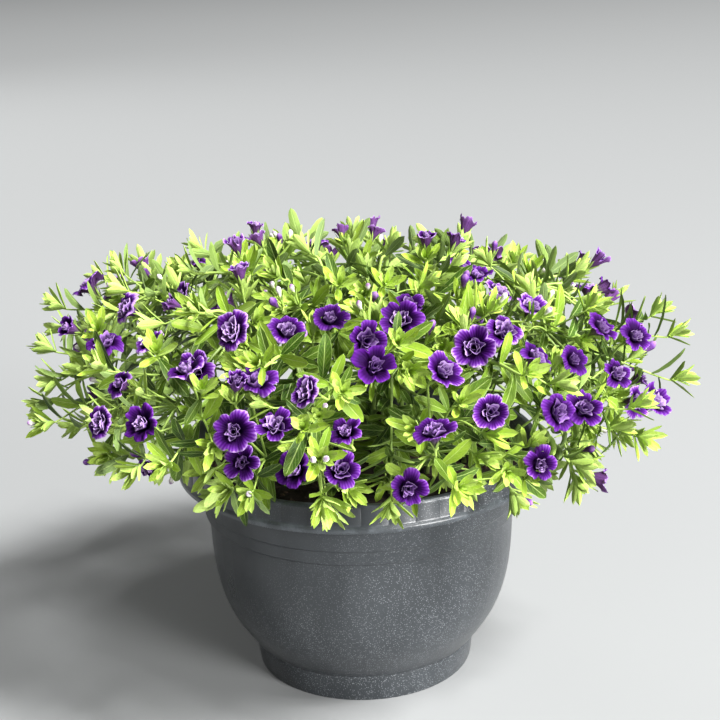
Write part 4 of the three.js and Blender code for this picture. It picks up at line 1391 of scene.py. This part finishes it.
# %% Stem look and tubes
stem_look, wire = begin("young_stem")
age, tone = field(wire, "age"), field(wire, "tone")
streak = object_noise(wire, 260, 3)
green = (age + (streak - 0.5) * 0.4).clamp().ramp(
    [(0.0, (0.36, 0.50, 0.10)), (0.5, (0.24, 0.36, 0.07)), (1.0, (0.13, 0.17, 0.05))]
)
finish_material(stem_look, green, 0.5, {"Specular IOR Level": 0.4}, streak, 0.0003, 0.4)
STEM_SIDES = 7

hairy = []  # the tubes whose hairs are still to be made


def tube(path, radius, steps, age, tone=0.5, sides=STEM_SIDES, hairs=0):
    """A tube along the smooth curve through a path. radius and age are given at each of the path's points.

    hairs is the number of hairs on it, kept with the tube's rings for the piece that draws them.
    """
    path = np.asarray(path, float)
    known = np.stack([np.broadcast_to(radius, len(path)), np.broadcast_to(age, len(path))], 1)
    curve = smooth_curve(path, steps)
    finer = np.linspace(0, len(path) - 1, len(curve))
    known = np.stack([np.interp(finer, np.arange(len(path)), known[:, i]) for i in (0, 1)], 1)
    axis = unit(np.gradient(curve, axis=0))
    reference = np.eye(3)[np.abs(axis).max(0).argmin()]
    side = unit(np.cross(reference, axis))
    top = np.cross(axis, side)
    turn = np.arange(sides) * TAU / sides
    ring = side[:, None] * np.cos(turn)[None, :, None] + top[:, None] * np.sin(turn)[None, :, None]
    points = curve[:, None] + ring * known[:, 0, None, None]
    if hairs:
        hairy.append((hairs, curve, side, top, axis, known[:, 0]))
    return shell(points[None], stem_look, age=known[None, :, 1], tone=tone)


HAIR_LENGTH = 0.9
HAIR_RADIUS = 0.055
HAIRS_FROM = 0.15  # share of a tube's length at which its hairs start


def stem_hairs(first):
    """Short three-sided hairs over the tubes kept in hairy: each starts on the surface at its own draws."""
    at, out = [], []
    for count, curve, side, top, axis, radius in hairy:
        number = first + np.arange(count)
        first += count
        place = HAIRS_FROM * (len(curve) - 1) + (1 - HAIRS_FROM) * draw(number, 21) * (len(curve) - 1.001)
        place = np.minimum(place, len(curve) - 1.001)
        ring = place.astype(int)
        share = (place - ring)[:, None]
        turn = TAU * draw(number, 22)[:, None]
        away = side[ring] * np.cos(turn) + top[ring] * np.sin(turn)
        at.append(mix(curve[ring], curve[ring + 1], share) + away * (radius[ring] * 0.85)[:, None])
        out.append(unit(away + axis[ring] * 0.35 + spread(number[:, None] * 3 + np.arange(3), 23, 0.3)))
    at, out = np.concatenate(at), np.concatenate(out)
    side = unit(np.cross(out, UP + 0.01))
    top = np.cross(out, side)
    turn = (np.arange(3) * TAU / 3)[None, :, None]
    foot = at[:, None] + HAIR_RADIUS * (side[:, None] * np.cos(turn) + top[:, None] * np.sin(turn))
    length = HAIR_LENGTH * (0.6 + 0.6 * draw(np.arange(len(at)), 24))[:, None, None]
    corners = np.concatenate([foot, at[:, None] + out[:, None] * length], 1)
    faces = np.array([(0, 1, 3), (1, 2, 3), (2, 0, 3), (2, 1, 0)])
    return loose_faces(corners, faces, stem_look, 0.5)


# %% [markdown]
# ## Flowers
#
# A double calibrachoa flower has a narrow tube, a flat limb of five lobes joined almost to their ends, and
# extra petals crowded in the throat. Each of these is one skin with an outside and an inside, so it is drawn
# as rings round the flower's own axis: out along the back, over the margin, and in again. The radius of the
# margin follows the five lobes, and a few low waves ruffle it, different in every flower.

# %% Petal looks: the pattern's second value is 2 x kind of skin + share of the way to the margin
FRONT, BACK, RUFFLE_OUT, RUFFLE_IN, BUD, YOUNG_BUD = range(6)
MARGIN = 1.0
STREAKS = 7  # on each lobe
VIOLET_BLACK = (0.010, 0.001, 0.020)
DEEP_VIOLET = (0.016, 0.001, 0.038)
VIOLET = (0.046, 0.004, 0.112)
LAVENDER = (0.32, 0.19, 0.44)

petal_look, wire = begin("petal")
u, v = uv_parts(wire)
kind = (v / 2).math("FLOOR")
x = v - kind * 2
tone = field(wire, "tone")
cloud = object_noise(wire, 160, 3)
lobe = ((u * 5 + 0.5).math("FRACT") - 0.5).math("ABSOLUTE") * 2
fan = ((u * 5 * STREAKS + (cloud - 0.5) * 0.9) * TAU).math("SINE") * 0.5 + 0.5
main_vein = 1 - lobe.smooth(0.0, 0.14)
share = x + (cloud - 0.5) * 0.16 + (tone - 0.55) * 0.2
front = (share - (fan - 0.5) * 0.06).ramp([
    (0.36, VIOLET_BLACK), (0.56, DEEP_VIOLET), (0.78, VIOLET), (0.89, (0.078, 0.011, 0.170)),
    (0.95, (0.14, 0.05, 0.25)), (1.0, LAVENDER),
])
back = share.ramp([
    (0.0, (0.17, 0.20, 0.08)), (0.25, (0.10, 0.045, 0.13)), (0.7, (0.115, 0.040, 0.165)),
    (1.0, (0.22, 0.10, 0.32)),
])
ruffle = share.ramp([
    (0.0, VIOLET_BLACK), (0.25, (0.040, 0.010, 0.085)), (0.55, (0.105, 0.038, 0.185)),
    (0.85, (0.18, 0.09, 0.27)), (1.0, (0.33, 0.22, 0.42)),
])
bud_skin = share.ramp([
    (0.0, (0.26, 0.32, 0.10)), (0.25, (0.16, 0.08, 0.20)), (0.7, (0.10, 0.03, 0.19)),
    (1.0, (0.26, 0.14, 0.36)),
])
young_bud_skin = share.ramp([
    (0.0, (0.34, 0.44, 0.12)), (0.35, (0.62, 0.64, 0.46)), (0.8, (0.74, 0.70, 0.70)),
    (1.0, (0.30, 0.16, 0.36)),
])
colour = (kind > BACK - 0.5).blend(front, back)
colour = (kind > RUFFLE_OUT - 0.5).blend(colour, ruffle)
colour = (kind > BUD - 0.5).blend(colour, bud_skin)
colour = (kind > YOUNG_BUD - 0.5).blend(colour, young_bud_skin)
reach = 1 - x.smooth(0.5, 0.93)
vein = ((fan.smooth(0.55, 1.0) * 0.7 + main_vein * 0.5) * reach * (kind < YOUNG_BUD - 0.5)).clamp()
colour = (vein * 0.85).blend(colour, (0.014, 0.001, 0.04))
rim_streaks = fan.smooth(0.7, 0.0) * x.smooth(0.66, 0.95) * (kind < BACK - 0.5)
colour = (rim_streaks * 0.24 * tone).blend(colour, (0.34, 0.20, 0.48))
pleats = fan.smooth(0.62, 0.95) * (kind > YOUNG_BUD - 0.5) * x.smooth(0.3, 0.5)
colour = (pleats * 0.8).blend(colour, (0.10, 0.05, 0.12))
finish_material(
    petal_look, colour, cloud * 0.2 + 0.56, {"Specular IOR Level": 0.05}, cloud * 0.5 - vein * 0.7,
    0.0006, 0.6,
)

# %% Flower shapes
LOBES_AROUND = 50
PETAL = 0.35  # thickness
LIMB = np.array([0.0, 0.22, 0.45, 0.68, 0.86, 1.0])  # shares of the way from throat to margin
TUBE = np.array([(0, 1.2), (2.5, 1.7), (5, 2.6)])  # heights from the neck, and radii
THROAT = np.array([(5.4, 2.2), (3.2, 1.1)])
LIMB_HEIGHT = 8  # of the throat's edge from the neck, and how much further the margin rises
CUPPING = 5
LOBE_DEPTHS = (0.18, 0.28)  # least depth of the notches between lobes, and how much the draw adds


def lobed(phi, share):
    """Radius of the limb's margin: less by a share in the notches between lobes, and dipped at lobe ends."""
    lobe = np.abs(np.cos(2.5 * phi))
    return 1 - share + share * lobe**0.55 - 0.07 * lobe**14


def steps_of(*runs):
    """The pattern's second value from ring to ring, for runs of (kind, shares at the rings): 2 kind + share.

    Between two runs the value would jump through the kinds that lie between, so the strip round a margin is
    set to one value by the function that draws it.
    """
    values = np.concatenate([2 * kind + np.asarray(shares, float) for kind, shares in runs])
    return np.stack([values[:-1], values[1:]], 1)


def place_in_flower(made, radius, height, phi):
    """Points at radius and angle round each flower's axis, at a height in it from the neck."""
    neck, side, top, look, size = of_all(made, "neck", "side", "top", "look", "size")
    size = size[..., None]
    x, y = radius * np.cos(phi), radius * np.sin(phi)
    return neck + size * (x[..., None] * side + y[..., None] * top + (height + 0 * x)[..., None] * look)


def corollas(made, numbers):
    """The outer corolla of each flower: tube and five-lobed limb, outside and inside.

    From throat to margin the radius grows evenly up to the lobed outline, and the height as
    1 - (1 - share)^2.2, so the limb rises steeply and ends nearly level. Sines of the angle ripple it, more
    towards the margin, and each lobe is bent up or down by its own draw.
    """
    n = len(made)
    phi = (np.arange(LOBES_AROUND) * TAU / LOBES_AROUND)[None, None]
    turn = TAU * draw(numbers, 300)[:, None, None]
    open_, crumple = of_all(made, "open", "crumple")
    share = LIMB[None, :, None]
    uneven = 1 + 0.05 * np.sin(phi + turn * 3) + 0.03 * np.sin(3 * phi + turn * 5)
    uneven = uneven + 0.02 * np.sin(8 * phi + turn * 6)
    lobe = np.round(phi / TAU * 5).astype(int) % 5
    of_lobe = np.abs(np.cos(2.5 * phi)) ** 0.8
    each = numbers[:, None, None] * 5 + lobe
    depth = LOBE_DEPTHS[0] + LOBE_DEPTHS[1] * draw(numbers, 304)[:, None, None]
    margin = BLOOM_RADIUS * lobed(phi, depth) * uneven * (1 + spread(each, 306, 0.12) * of_lobe)
    radius = THROAT_RADIUS + (margin - THROAT_RADIUS) * share * (0.35 + 0.65 * open_)
    radius = radius * (1 + crumple * 0.22 * share * np.sin(7 * phi + turn * 4))
    notch = 1 - np.abs(np.cos(2.5 * phi)) ** 0.6
    ripple = 0.8 * np.sin(5 * phi + turn) + 0.7 * np.sin(8 * phi - 2 * turn)
    ripple = (ripple + 0.6 * np.sin(13 * phi + turn * 7)) * share**2.2 * (1 + crumple)
    height = LIMB_HEIGHT + CUPPING * (1 - (1 - share) ** 2.2) + ripple - 1.8 * notch * share**3
    height = height + spread(each, 307, 2.4) * of_lobe * share**1.5
    lean = 1.2 * share**2 * np.sin(phi + turn * 2)
    curl = -2.6 * share**4 * (draw(numbers, 301)[:, None, None] - 0.2)
    height = height + lean + curl + (1 - open_) * 7 * share
    tube_r = TUBE[None, :, 1, None] * (1 + 0.06 * np.cos(5 * phi)) + 0 * turn
    tube_z = TUBE[None, :, 0, None] + 0 * tube_r
    nearer = PETAL * (1 - LIMB[-2::-1])[None, :, None]
    inner_r = np.concatenate([radius[:, -1:] - 0.05, radius[:, -2::-1] - nearer], 1)
    inner_z = height[:, ::-1] + PETAL * LIMB[::-1][None, :, None] ** 0.5
    throat_z, throat_r = (np.broadcast_to(v[None, :, None], (n, 2, LOBES_AROUND)) for v in THROAT.T)
    all_r = np.concatenate([tube_r, radius, inner_r, throat_r], 1)
    all_z = np.concatenate([tube_z, height, inner_z, throat_z], 1)
    along = steps_of(
        (BACK, [0, 0.1, 0.2]), (BACK, 0.28 + 0.72 * LIMB),
        (FRONT, 0.22 + 0.78 * LIMB[::-1]), (FRONT, [0.1, 0]),
    )
    along[len(TUBE) + len(LIMB) - 1] = 2 * FRONT + MARGIN
    points = place_in_flower(made, all_r, all_z, phi)
    return shell(points, petal_look, None, along, tone=draw(numbers, 302))


RUFFLE_AROUND = 27
RUFFLE = np.array([0.0, 0.45, 0.8, 1.0])


def ruffles(made, numbers, reach, low, high, waves):
    """A ruffled cup of inner petals, whose margin wanders in and out and up and down.

    The radius grows as share^0.8 and the height as share^1.1 from foot to margin. To each a sum of sines of
    the angle is added, which grows with the share.
    """
    phi = (np.arange(RUFFLE_AROUND) * TAU / RUFFLE_AROUND)[None, None]
    turn = TAU * draw(numbers, 310 + waves)[:, None, None]
    open_ = of_all(made, "open")[0]
    share = RUFFLE[None, :, None]
    wander = 0.26 * np.sin(waves * phi + turn) + 0.16 * np.sin((waves + 3) * phi - turn * 2)
    wander = wander + 0.2 * np.sin(2 * phi + turn * 3)
    reach = reach[:, None, None] * (0.5 + 0.5 * open_)
    radius = 1.3 + (reach - 1.3) * share**0.8 * (1 + wander * share)
    lift = 1.1 * np.sin(waves * phi + turn * 2 + 1) + 0.9 * np.sin((waves + 4) * phi + turn * 5)
    height = low + (high - low) * share**1.1 + lift * share**2 * 0.7 + (1 - open_) * 5 * share
    inner = share[:, ::-1]
    all_r = np.concatenate([radius, radius[:, ::-1] - 0.3 * (1 - inner**4) - 0.05], 1)
    all_z = np.concatenate([height, height[:, ::-1] + 0.3], 1)
    along = steps_of((RUFFLE_OUT, RUFFLE), (RUFFLE_IN, RUFFLE[::-1]))
    along[len(RUFFLE) - 1] = 2 * RUFFLE_OUT + MARGIN
    points = place_in_flower(made, all_r, all_z, phi)
    return shell(points, petal_look, None, along, tone=draw(numbers, 303))


RUFFLE_REACH = (3.9, 3.4)  # least radius of the largest cup, and how much the draw adds
CUPS = [(1, 6.2, 13.2, 5), (0.68, 6.1, 14.2, 4), (0.4, 6.0, 13.6, 3)]  # share of the reach, heights, waves


def flower_shells(made):
    """The skins of a list of flowers: the corolla, and the cups of petals one in the other."""
    numbers = np.array([flower["number"] for flower in made])
    reach = RUFFLE_REACH[0] + RUFFLE_REACH[1] * draw(numbers, 305) ** 2
    cups = [ruffles(made, numbers, reach * share, low, high, waves) for share, low, high, waves in CUPS]
    return [corollas(made, numbers), *cups]


# %% Bud shape
BUD_RINGS = np.array([0, 0.08, 0.22, 0.4, 0.58, 0.74, 0.87, 0.96, 1.0])
BUD_RADII = np.array([0.9, 1.2, 1.35, 1.6, 2.2, 2.5, 1.9, 0.9, 0.25])
BUD_AROUND = 15


def bud_shells(made):
    """Pleated buds: a narrow tube that swells past its middle and closes to a twisted point."""
    found = []
    for young, kind in ((False, BUD), (True, YOUNG_BUD)):
        chosen = [bud for bud in made if bud["young"] == young]
        if not chosen:
            continue
        numbers = np.array([bud["number"] for bud in chosen])
        cup, side, top, look, length = of_all(chosen, "cup", "side", "top", "look", "length")
        phi = (np.arange(BUD_AROUND) * TAU / BUD_AROUND)[None, None]
        share = BUD_RINGS[None, :, None]
        thick = 0.82 if young else 1
        pleat = 1 + (0.06 if young else 0.16) * share * np.cos(5 * phi + 2.2 * share)
        radius = BUD_RADII[None, :, None] * pleat * thick * (length / BUD_LENGTH) ** (0.35 if young else 1)
        bow = 0.08 * length * np.sin(math.pi * share) * spread(numbers, 330, 1)[:, None, None]
        points = cup + (radius * np.cos(phi) + bow)[..., None] * side
        points = points + (radius * np.sin(phi))[..., None] * top
        points = points + (length * share + 0 * phi)[..., None] * look
        along = steps_of((kind, BUD_RINGS))
        found.append(shell(points, petal_look, None, along, tone=draw(numbers, 331)))
    return found


# %% [markdown]
# ## Calyces and stalks
#
# Each flower and bud sits in a calyx of five narrow green sepals that spread behind it, on a thin stalk that
# bends up to it. Sepals are blades like the leaves, only slender.

# %% Calyx and stalk
SEPAL_LENGTH = 8.5
SEPAL_WIDTH = 2.0
SEPAL_FOLD = 0.05
SEPAL_DROOP = -0.06
SEPAL_OPENING = 0.5
BUD_SEPAL_SHARE = 0.6
BUD_SEPAL_OPENING = 0.4
SEPAL_RINGS = np.array([0, 0.25, 0.6, 0.88, 1.0])
STALK_ELBOW = 7
STALK_RADII = [STALK_RADIUS, 0.75, 0.75, 0.95, 1.7]  # from the twig to the calyx
STALK_AGES = [0.5, 0.35, 0.3, 0.2, 0.2]
STALK_HAIRS = 28


def sepal_outline(s):
    """Share of the half width at a share s of the length: a low arch of a sine, less s cubed at the end."""
    return 0.55 + 0.45 * np.sin(math.pi * np.minimum(s * 1.2, 1)) - 0.97 * s**3 * 0.55


def sepals_of(flower, length, open_):
    """Five blades in a ring behind a flower, spread from its axis by an angle."""
    found = []
    for k in range(5):
        angle = TAU * k / 5 + TAU * draw(flower["number"], 350)
        reach = length * (1 + spread(flower["number"] * 5 + k, 351, 0.12))
        away = flower["side"] * math.cos(angle) + flower["top"] * math.sin(angle)
        at = flower["cup"] + flower["look"] * 0.2 + away * 1.1
        found.append(leaf_at(
            at, flower["look"], flower["side"], flower["top"], angle, open_, reach, SEPAL_WIDTH, SEPAL_DROOP,
            flower["node"], 0.45,
        ))
    return found


def stalk_tube(flower):
    """A stalk from the twig to the flower, with its bend, that widens into the calyx."""
    start, cup = flower["start"], flower["cup"]
    elbow = cup - flower["look"] * STALK_ELBOW
    if np.linalg.norm(elbow - start) < 4:
        elbow = mix(start, cup, 0.5)
    path = np.array([start, mix(start, elbow, 0.55), elbow, mix(elbow, cup, 0.6), cup])
    return tube(path, STALK_RADII, 4, STALK_AGES, sides=6, hairs=STALK_HAIRS)


# %% [markdown]
# ## The plant's pieces
#
# The construction model has one node for each rooted stem with its foliage and flowers, and one for each of
# the flowers that stand free. The fine pieces follow the same split, so each takes the place of its node.

# %% Foliage of each stem
LEAF_DETAIL = [  # from a width to a width, with these rings and places across
    (0, 4.2, LEAF_RINGS[[0, 3, 5, 6, 8]], SMALL_ACROSS),
    (4.2, 7, LEAF_RINGS[[0, 2, 4, 6, 8]], BROAD_ACROSS),
    (7, 9, LEAF_RINGS[[0, 2, 4, 6, 7, 8]], BROAD_ACROSS),
    (9, 99, LEAF_RINGS, BROAD_ACROSS),
]
STEM_HAIRS = 0.6  # a millimetre
SHOOT_HAIRS = 16
SEPAL_DRAWS = 50000
HAIR_DRAWS = 800000
leaf_widths = np.array([leaf["width"] for leaf in leaves])
leaf_nodes = np.array([leaf["node"] for leaf in leaves])
all_flowers = blooms + extra
foliage_triangles = flower_triangles = 0
for node, stem in enumerate(stems):
    shells = []
    for from_width, to_width, rings, places in LEAF_DETAIL:
        chosen = np.nonzero((leaf_nodes == node) & (leaf_widths >= from_width) & (leaf_widths < to_width))[0]
        if len(chosen):
            shells.append(blades([leaves[i] for i in chosen], leaf_look, chosen, rings, places))
    for twig in stem["twigs"]:
        run = run_of(twig["path"])
        share = run / run[-1]
        radius = twig["radius"] * (1 - 0.5 * share)
        shells.append(tube(twig["path"], radius, 5, 0.95 - 0.85 * share, hairs=int(run[-1] * STEM_HAIRS)))
    for shoot in side_shoots:
        if shoot["node"] == node:
            share = np.linspace(0, 1, len(shoot["path"]))
            radius = SIDE_RADIUS * (1 - 0.35 * share)
            shells.append(tube(shoot["path"], radius, 3, 0.4 - 0.4 * share, sides=6, hairs=SHOOT_HAIRS))
    held = [flower for flower in all_flowers if flower["node"] == node]
    held_buds = [bud for bud in buds if bud["node"] == node]
    shells += [stalk_tube(flower) for flower in held + held_buds]
    sepals = [sepal for flower in held for sepal in sepals_of(flower, SEPAL_LENGTH, SEPAL_OPENING)]
    sepals += [
        sepal
        for bud in held_buds
        for sepal in sepals_of(bud, SEPAL_LENGTH * BUD_SEPAL_SHARE, BUD_SEPAL_OPENING)
    ]
    if sepals:
        numbers = SEPAL_DRAWS + node * 1000 + np.arange(len(sepals))
        shells.append(
            blades(sepals, leaf_look, numbers, SEPAL_RINGS, SMALL_ACROSS, sepal_outline, 0.0, SEPAL_FOLD)
        )
    shells.append(stem_hairs(HAIR_DRAWS + node * 20000))
    hairy.clear()
    name = stem["name"]
    piece = make_piece(name + "_foliage", shells, [leaf_look, stem_look], name, SOFT_CORNER)
    foliage_triangles += triangles(piece)
    fused = [flower for flower in held if not flower["separate"]]
    shells = (flower_shells(fused) if fused else []) + bud_shells(held_buds)
    if shells:
        piece = make_piece(name + "_flowers", shells, [petal_look], name, SOFT_CORNER)
        flower_triangles += triangles(piece)

# %% Flowers that stand free
for i, flower in enumerate(flower for flower in blooms if flower["separate"]):
    name = f"bloom_{i + 1:02d}"
    piece = make_piece(name + "_petals", flower_shells([flower]), [petal_look], name, SOFT_CORNER)
    flower_triangles += triangles(piece)
print("triangles: foliage", foliage_triangles, "flowers", flower_triangles)

# %% [markdown]
# ## Floor, lights and camera
#
# A plain pale floor and soft light show the plant as it is. A large lamp, far off and high in front on the
# right, gives even light over the whole floor and throws the soft shadow to the left. Three weak ones are
# nearer: one fills the front from the left, a low panel lights the bowl's right side, and one fills the back.

# %% Floor
FLOOR_SIZE = 120  # metres, so that its edge is far behind the plant
FLOOR_GREY = (0.225, 0.23, 0.23, 1)
bpy.ops.mesh.primitive_plane_add(size=FLOOR_SIZE)
floor = bpy.context.object
floor.name = "floor"
floor_look, wire = begin("pale_floor")
finish_material(floor_look, FLOOR_GREY, 0.85, {"Specular IOR Level": 0.0})
floor.data.materials.append(floor_look)


# %% Lights
def soft_light(name, place, target, wide, high, power):
    """A rectangular lamp at a place that faces a target."""
    data = bpy.data.lights.new(name, "AREA")
    data.shape = "RECTANGLE"
    data.size, data.size_y = wide, high
    data.energy = power
    lamp = bpy.data.objects.new(name, data)
    bpy.context.scene.collection.objects.link(lamp)
    out = Matrix.Translation(place).to_translation() - Matrix.Translation(target).to_translation()
    lamp.matrix_world = Matrix.Translation(place) @ out.to_track_quat("Z", "Y").to_matrix().to_4x4()


MIDDLE = (0, 0, 0.2)
BOWL_MIDDLE = (0, 0, 0.1)
SKY_LIGHT = 0.13
soft_light("key", (12.0, -7.6, 20.5), MIDDLE, 6.0, 6.0, 19500)
soft_light("front_fill", (-1.8, -3.0, 3.2), MIDDLE, 2.4, 2.4, 34)
soft_light("right_panel", (2.2, -2.4, 0.95), BOWL_MIDDLE, 1.1, 1.5, 240)
soft_light("back_fill", (-2.4, 3.0, 2.2), MIDDLE, 2.4, 2.4, 60)
world = bpy.data.worlds.new("studio")
bpy.context.scene.world = world
world.use_nodes = True
sky = world.node_tree.nodes["Background"]
sky.inputs["Color"].default_value = (1.0, 1.0, 1.0, 1)
sky.inputs["Strength"].default_value = SKY_LIGHT

# %% Camera
CAMERA_PLACE = (0.00256, -0.997, 0.544)
CAMERA_PITCH = 72.71  # degrees up from straight down
CAMERA_ROLL = -1.77
CAMERA_LENS = 71.25
SENSOR_WIDTH = 36
camera_data = bpy.data.cameras.new("camera")
camera_data.lens = CAMERA_LENS
camera_data.sensor_width = SENSOR_WIDTH
camera = bpy.data.objects.new("camera", camera_data)
bpy.context.scene.collection.objects.link(camera)
pitch = Matrix.Rotation(math.radians(CAMERA_PITCH), 4, "X")
roll = Matrix.Rotation(math.radians(CAMERA_ROLL), 4, "Z")
camera.matrix_world = Matrix.Translation(CAMERA_PLACE) @ pitch @ roll
bpy.context.scene.camera = camera
bpy.context.scene.view_settings.view_transform = "Standard"
